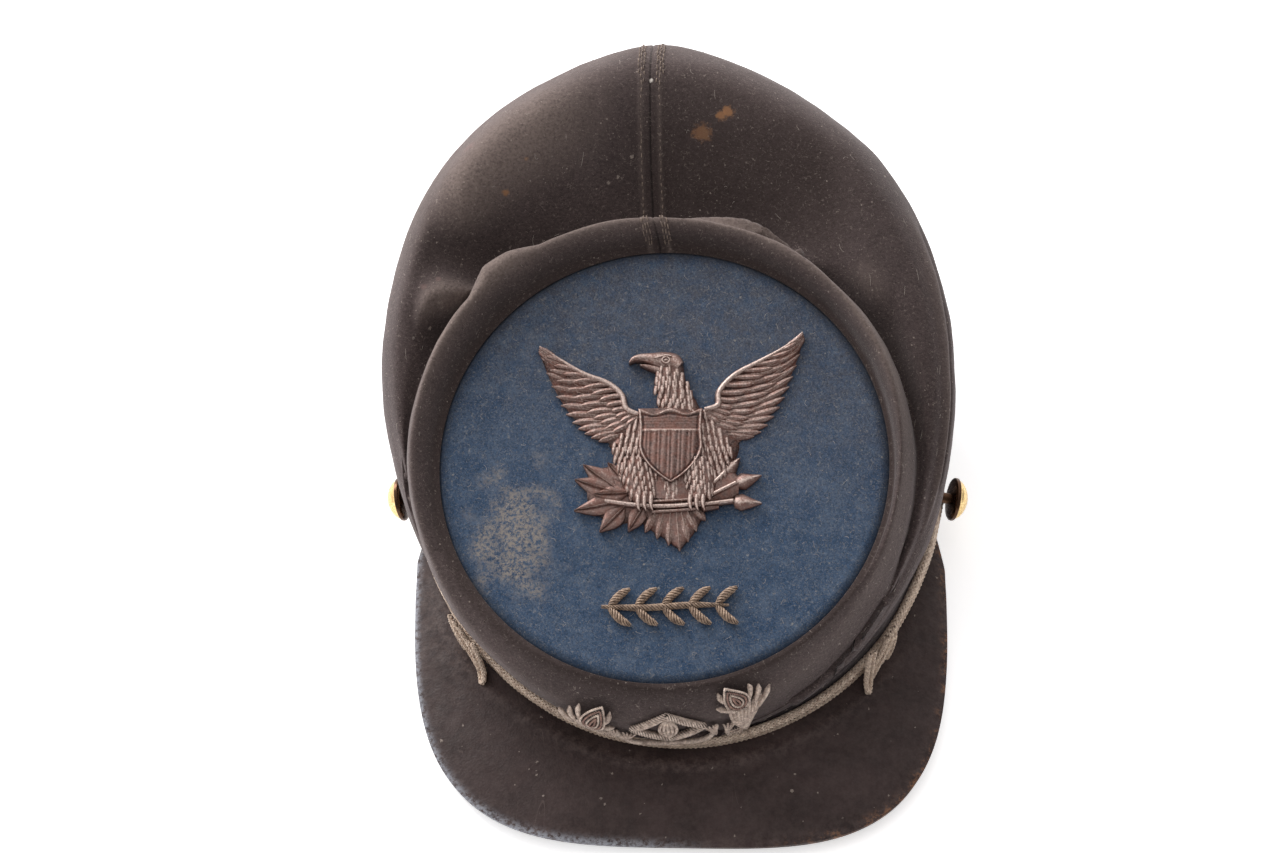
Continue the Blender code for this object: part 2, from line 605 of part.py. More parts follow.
def cord_points():
    """One closed loop: along the lower strand, round a shank, back along the upper one and round the other."""
    places = np.linspace(0, len(CORD_ROUTE) - 1, CORD_POINTS_PER_QUARTER)
    route = [smooth_row(CORD_ROUTE, place) for place in places]
    route = [(-angle, above) for angle, above in reversed(route[1:])] + [tuple(row) for row in route]
    lower = [cord_place(math.radians(angle), above) for angle, above in route]
    upper = [cord_place(math.radians(angle), above + CORD_PITCH) for angle, above in reversed(route)]
    turn_radius = BUTTON_SHANK_RADIUS + CORD_DIAMETER / 2 + 3 * GAP

    def round_shank(side):
        points = []
        for turn in np.radians((-90, -30, 30, 90)):
            angle = BUTTON_ANGLE + turn_radius * math.cos(turn) / HEAD_HALF_LENGTH
            height = BUTTON_HEIGHT + turn_radius * math.sin(turn)
            points.append(cord_place(side * angle, height - rim_height(angle)))
        return points

    return lower + round_shank(1) + upper + round_shank(-1)[::-1]


def build_cord(material):
    return make_tube("chin_cord", cord_points(), CORD_DIAMETER / 2, material, cyclic=True)


def link_mesh(points, outward):
    """A flattened round link along a path, with narrower rounded ends."""
    points = np.asarray(points)
    sections = []
    for i, point in enumerate(points):
        along = points[min(i + 1, len(points) - 1)] - points[max(i - 1, 0)]
        side = np.cross(along, outward)
        side /= np.linalg.norm(side)
        up = np.cross(side, along)
        up /= np.linalg.norm(up)
        size = WRAP_TAPER if i in (0, len(points) - 1) else 1.0
        turns = np.arange(8) * math.pi / 4
        ring = np.outer(np.cos(turns) * WRAP_HALF_WIDTH * size, side)
        ring += np.outer(np.sin(turns) * WRAP_HALF_THICKNESS * size, up)
        sections.append(list(point + ring))
    return swept_mesh(sections)


def build_wrap(name, side, material):
    meshes = []
    for rows in WRAP_LINKS.values():
        points = []
        for angle, above, lift in rows:
            angle = math.radians(angle + (LEFT_WRAP_SHIFT if side < 0 else 0.0))
            station = np.interp(angle, np.radians([row[0] for row in CORD_ROUTE]), range(len(CORD_ROUTE)))
            height = rim_height(angle) + smooth_row(CORD_ROUTE, station)[1] + above
            points.append(band_point(side * angle, height, -lift))
        middle = side * math.radians(rows[2][0])
        outward = band_point(middle, 0.0, -1.0) - band_point(middle, 0.0) + (0.0, 0.0, 0.35)
        meshes.append(link_mesh(points, outward))
    return fuse(name, meshes, material)


def build_button(name, side, material):
    """A dome on a round back and a shank, turned about its own axis."""
    root, outward = button_frame(side)
    first = np.cross(outward, (0.0, 1.0, 0.0))
    first /= np.linalg.norm(first)
    second = np.cross(outward, first)
    start = root + outward * GAP * 2
    rows = []
    for turn in np.arange(BUTTON_COLUMNS) * 2 * math.pi / BUTTON_COLUMNS:
        around = first * math.cos(turn) + second * math.sin(turn)
        rows.append([start + outward * along + around * out for along, out in BUTTON_PROFILE])
    mesh = grid_mesh(rows + rows[:1])
    bmesh.ops.recalc_face_normals(mesh, faces=mesh.faces)
    return make_object(name, mesh, material)


def main():
    clear_scene()
    cloth = make_material("dark_cloth", (0.062, 0.048, 0.047), 0.95)
    band_cloth = make_material("band_cloth", (0.05, 0.042, 0.044), 0.95)
    disc_cloth = make_material("disc_cloth", (0.035, 0.075, 0.14), 0.95)
    leather = make_material("peak_leather", (0.045, 0.034, 0.033), 0.5)
    cast = make_material("cast_metal", (0.2, 0.14, 0.125), 0.5, 0.7)
    bullion = make_material("bullion_thread", (0.3, 0.24, 0.21), 0.6, 0.3)
    cord = make_material("cord_thread", (0.29, 0.22, 0.19), 0.7)
    brass = make_material("button_brass", (0.75, 0.55, 0.25), 0.3, 1.0)
    build_crown(cloth)
    build_band(band_cloth)
    build_disc(disc_cloth)
    build_peak(leather)
    build_eagle(cast)
    build_sprig(bullion)
    build_horn("horn_left", -1, bullion)
    build_horn("horn_right", 1, bullion)
    build_lozenge(bullion)
    build_scroll(bullion)
    build_cord(cord)
    build_wrap("slide_left", -1, cord)
    build_wrap("slide_right", 1, cord)
    build_button("button_left", -1, brass)
    build_button("button_right", 1, brass)


main()
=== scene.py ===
# %% [markdown]
# # A faded kepi
# This lesson dresses a plain model of an old wool kepi. The plain model, which is called the frame here,
# gives every piece its size and its place. Each piece is then made again with fine cloth, leather, cast metal
# or thread. A kepi is a good subject, because one soft form carries very different finishes close together.

# %% Load the frame
import json
import math
import random

import bmesh
import bpy
import numpy as np
from mathutils import Matrix, Vector, noise

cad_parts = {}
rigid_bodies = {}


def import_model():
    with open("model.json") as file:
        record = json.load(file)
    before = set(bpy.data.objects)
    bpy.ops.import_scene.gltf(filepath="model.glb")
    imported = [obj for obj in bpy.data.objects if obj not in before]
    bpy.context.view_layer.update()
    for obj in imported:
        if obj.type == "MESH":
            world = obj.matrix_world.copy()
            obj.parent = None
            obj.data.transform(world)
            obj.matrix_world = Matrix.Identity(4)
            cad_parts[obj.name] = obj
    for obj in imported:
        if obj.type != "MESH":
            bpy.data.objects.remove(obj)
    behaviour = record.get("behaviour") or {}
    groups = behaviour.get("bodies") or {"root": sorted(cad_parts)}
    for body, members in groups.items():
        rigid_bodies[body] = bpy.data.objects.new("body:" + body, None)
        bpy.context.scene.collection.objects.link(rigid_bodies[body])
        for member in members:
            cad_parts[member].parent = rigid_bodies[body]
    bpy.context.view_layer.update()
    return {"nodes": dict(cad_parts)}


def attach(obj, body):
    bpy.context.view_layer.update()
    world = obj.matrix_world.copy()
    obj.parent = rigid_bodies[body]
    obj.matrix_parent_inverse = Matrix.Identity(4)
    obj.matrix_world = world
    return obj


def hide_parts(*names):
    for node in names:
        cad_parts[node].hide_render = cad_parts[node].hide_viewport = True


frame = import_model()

print("nodes in the frame:", len(frame["nodes"]))

# %% [markdown]
# ## Camera, floor and light
# The cap lies on a white table and is seen from the front and from high above, with a long lens. The camera
# comes first, because every later choice is judged through it. The surround is bright behind the cap and dim
# on the camera's side, so the cloth that faces the camera stays dark and the tops of the folds shine. One
# large lamp behind the left side draws their edges, and the floor glows a little, as an overexposed white
# table does.

# %% Camera
MM = 0.001
IMAGE_WIDTH = 1280
FOCAL_LENGTH_PX = 3860
CAMERA_ELEVATION = math.radians(56)
CAMERA_DISTANCE = 1.22
CAMERA_TARGET = Vector((1.37, 0.6, 45)) * MM
SUBJECT_RIGHT_PX = 41
SUBJECT_DOWN_PX = 8

camera_data = bpy.data.cameras.new("camera")
camera_data.sensor_width = 36
camera_data.lens = camera_data.sensor_width * FOCAL_LENGTH_PX / IMAGE_WIDTH
camera_data.shift_x = -SUBJECT_RIGHT_PX / IMAGE_WIDTH
camera_data.shift_y = SUBJECT_DOWN_PX / IMAGE_WIDTH
camera = bpy.data.objects.new("camera", camera_data)
bpy.context.scene.collection.objects.link(camera)
towards_camera = Vector((0, -math.cos(CAMERA_ELEVATION), math.sin(CAMERA_ELEVATION)))
camera.location = CAMERA_TARGET + CAMERA_DISTANCE * towards_camera
camera.rotation_euler = (math.radians(90) - CAMERA_ELEVATION, 0, 0)
bpy.context.scene.camera = camera
print("lens, mm:", round(camera_data.lens, 1))

# %% Floor and light
FLOOR_SIZE = 30.0
FLOOR_COLOUR = (0.93, 0.93, 0.94)
FLOOR_GLOW = 0.55
SURROUND_BRIGHT_SIDE = (-0.45, 0.85, 0.25)
SURROUND_DIM = 0.3
SURROUND_BRIGHT = 1.45
KEY_ENERGY = 22.0
KEY_SIZE = 0.8
KEY_PLACE = Vector((-0.85, 1.05, 0.85))

bpy.context.scene.view_settings.view_transform = "Standard"
world = bpy.data.worlds.new("surround")
world.use_nodes = True
surround = world.node_tree
direction = surround.nodes.new("ShaderNodeTexCoord").outputs["Generated"]
towards = surround.nodes.new("ShaderNodeVectorMath")
towards.operation = "DOT_PRODUCT"
towards.inputs[1].default_value = SURROUND_BRIGHT_SIDE
surround.links.new(direction, towards.inputs[0])
strength = surround.nodes.new("ShaderNodeMapRange")
for key, value in {
    "From Min": -0.3, "From Max": 0.9, "To Min": SURROUND_DIM, "To Max": SURROUND_BRIGHT
}.items():
    strength.inputs[key].default_value = value
surround.links.new(towards.outputs["Value"], strength.inputs["Value"])
surround.links.new(strength.outputs["Result"], surround.nodes["Background"].inputs["Strength"])
surround.nodes["Background"].inputs["Color"].default_value = (1.0, 0.98, 0.97, 1.0)
bpy.context.scene.world = world

key_data = bpy.data.lights.new("key", "AREA")
key_data.energy = KEY_ENERGY
key_data.size = KEY_SIZE
key = bpy.data.objects.new("key", key_data)
bpy.context.scene.collection.objects.link(key)
key.location = KEY_PLACE
key.rotation_euler = (Vector((0, 0, 0.05)) - KEY_PLACE).to_track_quat("-Z", "Y").to_euler()

floor_mesh = bmesh.new()
bmesh.ops.create_grid(floor_mesh, x_segments=1, y_segments=1, size=FLOOR_SIZE / 2)
floor_data = bpy.data.meshes.new("floor")
floor_mesh.to_mesh(floor_data)
floor_mesh.free()
floor = bpy.data.objects.new("floor", floor_data)
bpy.context.scene.collection.objects.link(floor)
floor_paint = bpy.data.materials.new("floor_paint")
floor_paint.use_nodes = True
floor_paint.node_tree.nodes["Principled BSDF"].inputs["Base Color"].default_value = (*FLOOR_COLOUR, 1.0)
floor_paint.node_tree.nodes["Principled BSDF"].inputs["Roughness"].default_value = 1.0
floor_paint.node_tree.nodes["Principled BSDF"].inputs["Specular IOR Level"].default_value = 0.0
floor_paint.node_tree.nodes["Principled BSDF"].inputs["Emission Color"].default_value = (1.0, 1.0, 1.0, 1.0)
floor_paint.node_tree.nodes["Principled BSDF"].inputs["Emission Strength"].default_value = FLOOR_GLOW
floor_data.materials.append(floor_paint)
print("floor and one lamp made")

# %% [markdown]
# ## The shape of the cloth
# The crown is one tube of cloth. It rises from the band seam, swells at the back, dips into a valley and then
# rolls round the stiff top. Each section of that tube is an oval with its own width and its own heights at
# the front, sides and back. A smooth curve through a short table of sections gives every height in between,
# and a second table holds the folds. The frame's crown has the same sections but a simpler table of folds.
# The finer folds here leave it by a few millimetres, and by nearly nine at the left pinch, where the ridge
# lies lower. Everything here is worked out for whole arrays of places at once, which keeps a mesh of forty
# thousand faces quick.

# %% Sections and folds, in millimetres from the middle of the head opening
HEAD_CENTRE = np.array((1.37, 14.6, 0.0))
HEAD_HALF_WIDTH = 83.4
HEAD_HALF_LENGTH = 104.0
CROWN_LEAN = 0.07
PINCH_POWER = 6
CROWN_SECTIONS = {
    # name: half_width, y_front, y_back, z_front, z_side, z_back, pinch, shift, shear
    "seam": (83.9, -105.0, 103.5, 13.0, 27.0, 30.0, 0.0, 0.0, 0.0),
    "swell": (87.2, -105.2, 106.0, 13.4, 38.0, 44.0, 0.05, 0.0, 0.0),
    "bulge_low": (90.0, -105.4, 108.3, 13.7, 49.0, 58.0, 0.12, 0.2, 0.0),
    "bulge": (90.4, -105.5, 109.5, 13.9, 58.0, 72.0, 0.20, 0.4, 0.0),
    "shoulder": (89.2, -105.6, 106.5, 14.1, 64.0, 89.0, 0.26, 0.4, 0.0),
    "brow": (86.8, -105.7, 97.0, 14.3, 67.0, 102.5, 0.28, 0.2, 0.0),
    "ridge": (84.4, -105.8, 82.0, 14.5, 67.0, 107.5, 0.26, 0.0, 0.0),
    "ridge_inside": (81.6, -105.9, 61.0, 14.7, 63.0, 95.5, 0.18, -0.6, 0.0),
    "valley": (79.2, -106.0, 43.5, 15.0, 57.5, 81.0, 0.06, -1.4, -1.0),
    "roll_outside": (78.2, -107.2, 40.5, 19.0, 61.5, 85.5, 0.0, -2.2, -2.0),
    "roll_crest": (75.8, -108.2, 37.5, 27.0, 67.0, 91.0, 0.0, -2.8, -3.0),
    "roll_inside": (73.2, -106.4, 33.8, 35.0, 65.0, 88.5, 0.0, -2.0, -3.0),
    "cove": (71.4, -104.6, 32.4, 40.0, 61.9, 82.6, 0.0, -1.0, -2.6),
    "lip": (69.6, -102.6, 30.5, 40.8, 61.1, 81.4, 0.0, -0.8, -2.5),
}
STATIONS = {name: index for index, name in enumerate(CROWN_SECTIONS)}
FOLDS = {
    # name: half width, then places along the fold as (angle, station, height)
    "left_roll_bulge": (7.5, ((-150, 9.8, 0.0), (-143, 9.6, 3.4), (-137, 9.4, 4.2), (-130, 9.2, 0.0))),
    "left_pinch_ridge": (
        3.0,
        (
            (-137, 8.6, 0.0), (-132, 8.1, 3.6), (-127.5, 7.8, 5.0), (-121.5, 7.4, 4.8), (-115, 7.0, 3.2),
            (-109, 6.8, 0.0)
        ),
    ),
    "left_pinch_hollow": (4.5, ((-124, 8.2, -1.0), (-118, 7.8, -2.6), (-108, 7.5, 0.0))),
    "left_upper_hollow": (4.0, ((-138, 7.7, -1.0), (-129, 7.1, -2.4), (-119, 6.5, -1.8), (-112, 6.1, 0.0))),
    "left_rear_ridge": (8.5, ((-122, 5.9, 1.0), (-131, 6.2, 3.8), (-150, 6.2, 3.6), (-163, 6.4, 1.0))),
    "left_rear_hollow": (8.0, ((-140, 7.9, -1.6), (-168, 8.1, -1.6))),
    "right_rear_hollow": (15.0, ((176, 7.5, -4.2), (140, 6.7, -4.2))),
    "right_top_fold": (
        3.0,
        (
            (178, 9.4, 0.0), (168, 9.1, 3.2), (162, 8.9, 5.2), (156, 8.6, 6.0), (150, 8.3, 4.6),
            (143, 8.0, 2.2), (136, 7.7, 0.0)
        ),
    ),
    "right_side_fold": (5.5, ((146, 8.0, 0.5), (136, 7.85, 2.8), (126, 7.5, 2.8), (116, 7.15, 0.0))),
    "right_deep_valley": (5.5, ((140, 8.4, -4.0), (112, 7.9, -4.0), (96, 7.9, -1.0))),
    "right_side_valley": (8.0, ((104, 7.9, 0.0), (86, 7.8, -1.0), (70, 7.7, -2.0))),
    "right_double_edge": (2.6, ((112, 4.2, -0.8), (72, 4.0, -1.6))),
    "right_upper_edge": (5.0, ((120, 5.0, 0.0), (106, 4.9, 1.6), (72, 4.8, 1.6), (60, 4.7, 0.0))),
    "seam_groove": (5.0, ((-178, 4.0, -0.3), (-178, 9.0, -0.3))),
}
FOLD_REACH_PER_RADIAN = 84.0
FOLD_REACH_PER_STATION = 11.0
FOLDS_RISE_OVER = 1.5
FOLDS_FALL_OVER = 2.0
print("sections:", len(CROWN_SECTIONS), "folds:", len(FOLDS))


# %% A place on the cloth
def smooth_rows(rows, places):
    """Rows between the rows of a table, on a Catmull-Rom curve, for an array of places."""
    rows = np.asarray(rows, float)
    padded = np.concatenate(([2 * rows[0] - rows[1]], rows, [2 * rows[-1] - rows[-2]]))
    places = np.asarray(places, float)
    first = np.clip(np.floor(places).astype(int), 0, len(rows) - 2)
    part = (places - first)[..., None]
    before, start, end, after = (padded[first + step] for step in range(4))
    return start + part * (
        (end - before) / 2
        + part * (
            (2 * before - 5 * start + 4 * end - after) / 2 + part * (3 * start - before - 3 * end + after) / 2
        )
    )


def smooth_step(value):
    value = np.clip(value, 0.0, 1.0)
    return value * value * (3 - 2 * value)


def hump(value, middle, width):
    """1 at the middle, and less with the distance from it, down to nothing a few widths away."""
    return np.exp(-(((value - middle) / width) ** 2))


def run_along(points):
    """How far along a path each of its points lies."""
    return np.concatenate(((0.0,), np.cumsum(np.linalg.norm(np.diff(points, axis=0), axis=1))))


def ring_point(section, angle):
    """Points of oval sections, at angles from the front towards +X."""
    half_width, y_front, y_back, z_front, z_side, z_back, pinch, shift, shear = np.moveaxis(section, -1, 0)
    forward = np.cos(angle)
    half_width = half_width * (1 - pinch * np.minimum(forward, 0.0) ** PINCH_POWER)
    y = (y_front + y_back) / 2 - (y_back - y_front) / 2 * forward
    z = z_side + (z_front - z_back) / 2 * forward + ((z_front + z_back) / 2 - z_side) * forward**2
    x = half_width * np.sin(angle) - CROWN_LEAN * z + shift + shear * forward
    return np.stack((x, y + 0 * z, z), axis=-1)


def crown_base(angle, station):
    angle, station = np.broadcast_arrays(angle, station)
    return ring_point(smooth_rows(list(CROWN_SECTIONS.values()), station), angle)


def crown_normal(angle, station):
    step = 0.01
    last = len(CROWN_SECTIONS) - 1
    up = crown_base(angle, np.minimum(station + step, last)) - crown_base(
        angle, np.maximum(station - step, 0)
    )
    along = crown_base(angle + step, station) - crown_base(angle - step, station)
    normal = np.cross(along, up)
    return normal / np.linalg.norm(normal, axis=-1, keepdims=True)


def fold_share(angle, station, half_width, places):
    """How high one fold stands: its height at the nearest place on its line, less with the distance."""
    reach = np.array((FOLD_REACH_PER_RADIAN, FOLD_REACH_PER_STATION))
    nearest, height = np.full(np.shape(angle), np.inf), np.zeros(np.shape(angle))
    for (angle_1, station_1, height_1), (angle_2, station_2, height_2) in zip(places, places[1:]):
        start = np.array((math.radians(angle_1), station_1)) * reach
        run = np.array((math.radians(angle_2), station_2)) * reach - start
        for turn in (-2 * math.pi, 0.0, 2 * math.pi):
            here = np.stack((angle + turn, station), axis=-1) * reach - start
            part = np.clip(here @ run / (run @ run), 0.0, 1.0)
            away = np.linalg.norm(here - part[..., None] * run, axis=-1)
            height = np.where(away < nearest, height_1 + part * (height_2 - height_1), height)
            nearest = np.minimum(nearest, away)
    return height * hump(nearest, 0.0, half_width)


def fold_height(angle, station):
    angle, station = np.broadcast_arrays(angle, station)
    return sum(fold_share(angle, station, half_width, places) for half_width, places in FOLDS.values())


def fold_direction(angle, station):
    """The way folds rise: the cloth's own direction, smoothed so that a fold can bridge the valley."""
    last = len(CROWN_SECTIONS) - 1
    steps = (-1.0, -0.5, 0.0, 0.5, 1.0)
    direction = sum(crown_normal(angle, np.clip(station + step, 0, last)) for step in steps)
    return direction / np.linalg.norm(direction, axis=-1, keepdims=True)


def crown_point(angle, station, lift=0.0):
    last = STATIONS["lip"]
    edge = smooth_step(station / FOLDS_RISE_OVER) * smooth_step((last - station) / FOLDS_FALL_OVER)
    folded = np.asarray(edge * fold_height(angle, station))[..., None] * fold_direction(angle, station)
    return crown_base(angle, station) + folded + np.asarray(lift)[..., None] * crown_normal(angle, station)


print("top of the back, mm:", crown_point(np.array(math.pi), np.array(6.0)).round(1))


# %% [markdown]
# ## Two makers for meshes
# Most soft pieces start as a plain grid whose points are then moved onto a formula. The threads are curves
# with a round bevel, many to one object. These two makers keep the later cells short. A number that belongs
# to each point, such as how worn it is, goes with the mesh as a named attribute, and the materials read it by
# that name.

# %% Makers
def in_metres(points):
    return (np.asarray(points) + HEAD_CENTRE) * MM


def moved_grid(points, closed=False, **values):
    """A bmesh grid moved onto rows of points, with numbers for each point as attributes."""
    rows, columns = points.shape[:2]
    mesh = bmesh.new()
    bmesh.ops.create_grid(mesh, x_segments=columns - 1, y_segments=rows - 1, size=1)
    for vert, place in zip(mesh.verts, in_metres(points).reshape(-1, 3)):
        vert.co = place
    for name, numbers in values.items():
        layer = mesh.verts.layers.float.new(name)
        for vert, number in zip(mesh.verts, np.broadcast_to(numbers, (rows, columns)).ravel()):
            vert[layer] = number
    if closed:
        bmesh.ops.remove_doubles(mesh, verts=mesh.verts, dist=1e-6)
    return mesh


def finish_mesh(name, mesh, material, sharp_degrees=60):
    data = bpy.data.meshes.new(name)
    mesh.to_mesh(data)
    mesh.free()
    data.shade_smooth()
    data.set_sharp_from_angle(angle=math.radians(sharp_degrees))
    data.materials.append(material)
    piece = bpy.data.objects.new(name, data)
    bpy.context.scene.collection.objects.link(piece)
    return piece


def add_wall(piece, thickness, rounding=0.0):
    """Gives a surface its thickness, towards its inside, and rounds its edges."""
    wall = piece.modifiers.new("wall", "SOLIDIFY")
    wall.thickness = thickness * MM
    wall.offset = -1
    if rounding:
        edge = piece.modifiers.new("rounding", "BEVEL")
        edge.width = rounding * MM
        edge.segments = 3
        edge.limit_method = "ANGLE"
        edge.angle_limit = math.radians(50)
    return piece


def thread_piece(name, strands, material, sides=1, cyclic=False):
    """One curve object with a round thread along each strand, given as (points, radius)."""
    curve = bpy.data.curves.new(name, "CURVE")
    curve.dimensions = "3D"
    curve.bevel_resolution = sides
    curve.bevel_depth = MM
    curve.use_fill_caps = not cyclic
    for points, radius in strands:
        spline = curve.splines.new("POLY")
        spline.points.add(len(points) - 1)
        flat = np.concatenate((in_metres(points), np.ones((len(points), 1))), axis=1)
        spline.points.foreach_set("co", flat.ravel())
        spline.points.foreach_set("radius", np.broadcast_to(radius, len(points)).astype(float))
        spline.use_cyclic_u = cyclic
        spline.use_smooth = True
    curve.materials.append(material)
    piece = bpy.data.objects.new(name, curve)
    bpy.context.scene.collection.objects.link(piece)
    return piece


def dress(piece, slot, *nodes):
    """Every piece rides on the one body and stands for its nodes. The slot argument is not used."""
    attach(piece, "root")
    if nodes:
        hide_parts(*nodes)
    return piece


# %% [markdown]
# ## Effects that several materials share
# Wool, felt and thread all show nap, lint and stains, and leather and metal show dust and scratches. Each of
# these is a small group of shader nodes, made once, with named inputs. A group puts out only masks and
# heights, and the Principled shader stays in each material. All patterns read object coordinates, so they
# stay on the cap in any view.

# %% Helpers for nodes
def linear(red, green, blue):
    """A colour as the renderer needs it, from values of 0 to 255 as a screen shows it."""
    return (*(((value / 255 + 0.055) / 1.055) ** 2.4 for value in (red, green, blue)), 1.0)


def add_node(tree, kind, inputs=None, **settings):
    """A node with its settings. An input is a number or colour, or another node's output to link."""
    node = tree.nodes.new(kind)
    for key, value in settings.items():
        setattr(node, key, value)
    for key, value in (inputs or {}).items():
        if isinstance(value, bpy.types.NodeSocket):
            tree.links.new(value, node.inputs[key])
        else:
            node.inputs[key].default_value = value
    return node


def calculate(tree, operation, *values):
    return add_node(tree, "ShaderNodeMath", dict(enumerate(values)), operation=operation).outputs[0]


def map_range(tree, value, low, high, to_low=0.0, to_high=1.0):
    inputs = {"Value": value, "From Min": low, "From Max": high, "To Min": to_low, "To Max": to_high}
    return add_node(tree, "ShaderNodeMapRange", inputs).outputs["Result"]


def mix_colour(tree, factor, below, above, blend="MIX"):
    node = add_node(tree, "ShaderNodeMix", data_type="RGBA", blend_type=blend, clamp_factor=True)
    for socket, value in ((node.inputs[0], factor), (node.inputs[6], below), (node.inputs[7], above)):
        if isinstance(value, bpy.types.NodeSocket):
            tree.links.new(value, socket)
        else:
            socket.default_value = value
    return node.outputs[2]


def cover(tree, colour, over, mask, strength):
    """A colour with another one laid over it where a mask says, at some strength."""
    return mix_colour(tree, calculate(tree, "MULTIPLY", mask, strength), colour, over)


def object_place(tree):
    return add_node(tree, "ShaderNodeTexCoord").outputs["Object"]


def noise_node(tree, scale, detail=2.0, roughness=0.5, vector=None, distortion=0.0):
    """Noise on object coordinates in metres, so a scale of 1000 gives patches of about a millimetre."""
    inputs = {"Scale": scale, "Detail": detail, "Roughness": roughness, "Distortion": distortion}
    inputs["Vector"] = object_place(tree) if vector is None else vector
    return add_node(tree, "ShaderNodeTexNoise", inputs).outputs["Fac"]


def stretched(tree, scale, turn=(0, 0, 0)):
    """Object coordinates turned and stretched, for a pattern that runs one way."""
    inputs = {"Vector": object_place(tree), "Scale": scale, "Rotation": turn}
    return add_node(tree, "ShaderNodeMapping", inputs).outputs["Vector"]


def effect_group(name, inputs, outputs):
    """An empty node group. Inputs are (name, kind, value), and outputs are (name, kind)."""
    group = bpy.data.node_groups.new(name, "ShaderNodeTree")
    for label, kind, value in inputs:
        group.interface.new_socket(label, in_out="INPUT", socket_type=kind).default_value = value
    for label, kind in outputs:
        group.interface.new_socket(label, in_out="OUTPUT", socket_type=kind)
    return group, group.nodes.new("NodeGroupInput"), group.nodes.new("NodeGroupOutput")


FLOAT, VECTOR = "NodeSocketFloat", "NodeSocketVector"


# %% Nap: the short fuzz of wool, as a fine grain and a height
nap, given, result = effect_group(
    "nap", [("Scale", FLOAT, 900.0), ("Streak", FLOAT, 2.5)], [("Grain", FLOAT), ("Height", FLOAT)]
)
stretch = add_node(nap, "ShaderNodeCombineXYZ", {0: given.outputs["Streak"], 1: 1.0, 2: 1.0}).outputs[0]
place = add_node(
    nap, "ShaderNodeVectorMath", {0: object_place(nap), 1: stretch}, operation="MULTIPLY"
).outputs[0]
coarse = noise_node(nap, given.outputs["Scale"], 3.0, 0.7, place, 0.6)
fine_scale = calculate(nap, "MULTIPLY", given.outputs["Scale"], 2.2)
fine = noise_node(nap, fine_scale, 2.0, 0.6)
grain = calculate(nap, "ADD", calculate(nap, "MULTIPLY", coarse, 0.6), calculate(nap, "MULTIPLY", fine, 0.4))
nap.links.new(map_range(nap, grain, 0.35, 0.65), result.inputs["Grain"])
nap.links.new(grain, result.inputs["Height"])
print("made group", nap.name)

# %% Lint: scattered pale specks, each with its own size
lint, given, result = effect_group(
    "lint", [("Scale", FLOAT, 900.0), ("Share", FLOAT, 0.1)], [("Mask", FLOAT)]
)
cells = add_node(
    lint, "ShaderNodeTexVoronoi", {"Vector": object_place(lint), "Scale": given.outputs["Scale"]}
)
chance = add_node(lint, "ShaderNodeSeparateColor", {0: cells.outputs["Color"]})
chosen = calculate(lint, "LESS_THAN", chance.outputs[0], given.outputs["Share"])
size = map_range(lint, chance.outputs[1], 0.0, 1.0, 0.08, 0.42)
ragged = map_range(lint, noise_node(lint, 2600.0, 2.0), 0.3, 0.7, -0.25, 0.25)
near = calculate(lint, "LESS_THAN", calculate(lint, "ADD", cells.outputs["Distance"], ragged), size)
lint.links.new(calculate(lint, "MULTIPLY", chosen, near), result.inputs["Mask"])
print("made group", lint.name)

# %% Fibres: short thin curls, where a fine noise crosses its middle value
fibres, given, result = effect_group(
    "fibres", [("Scale", FLOAT, 400.0), ("Width", FLOAT, 0.02), ("Share", FLOAT, 0.5)], [("Mask", FLOAT)]
)
lines = noise_node(fibres, given.outputs["Scale"], 1.0, 0.5, None, 0.6)
edge = calculate(fibres, "ABSOLUTE", calculate(fibres, "SUBTRACT", lines, 0.5))
thin = map_range(fibres, edge, given.outputs["Width"], 0.0)
pieces = noise_node(fibres, calculate(fibres, "MULTIPLY", given.outputs["Scale"], 1.7), 2.0, 0.6)
chosen = calculate(fibres, "LESS_THAN", pieces, given.outputs["Share"])
fibres.links.new(calculate(fibres, "MULTIPLY", thin, chosen), result.inputs["Mask"])
print("made group", fibres.name)

# %% Spot: a soft stain round a place, with a ragged edge
spot, given, result = effect_group(
    "spot", [("Centre", VECTOR, (0, 0, 0)), ("Radius", FLOAT, 0.01), ("Ragged", FLOAT, 0.4)], [
        ("Mask", FLOAT)
    ]
)
away = add_node(
    spot, "ShaderNodeVectorMath", {0: object_place(spot), 1: given.outputs["Centre"]}, operation="DISTANCE"
).outputs["Value"]
share = calculate(spot, "DIVIDE", away, given.outputs["Radius"])
rough = calculate(spot, "SUBTRACT", noise_node(spot, 520.0, 4.0, 0.7), 0.5)
rough = calculate(spot, "MULTIPLY", rough, calculate(spot, "MULTIPLY", given.outputs["Ragged"], 4.0))
spot.links.new(map_range(spot, calculate(spot, "ADD", share, rough), 1.0, 0.55), result.inputs["Mask"])
print("made group", spot.name)

# %% Scratches: thin light lines that run roughly one way
scratches, given, result = effect_group(
    "scratches", [("Scale", FLOAT, 60.0), ("Width", FLOAT, 0.02)], [("Mask", FLOAT)]
)
place = stretched(scratches, (1.0, 0.12, 0.5), (0.0, 0.0, 0.9))
lines = noise_node(scratches, given.outputs["Scale"], 2.0, 0.5, place, 0.4)
edge = calculate(scratches, "ABSOLUTE", calculate(scratches, "SUBTRACT", lines, 0.5))
thin = calculate(scratches, "LESS_THAN", edge, calculate(scratches, "MULTIPLY", given.outputs["Width"], 0.2))
patches = map_range(scratches, noise_node(scratches, 70.0, 3.0), 0.52, 0.66)
scratches.links.new(calculate(scratches, "MULTIPLY", thin, patches), result.inputs["Mask"])
print("made group", scratches.name)


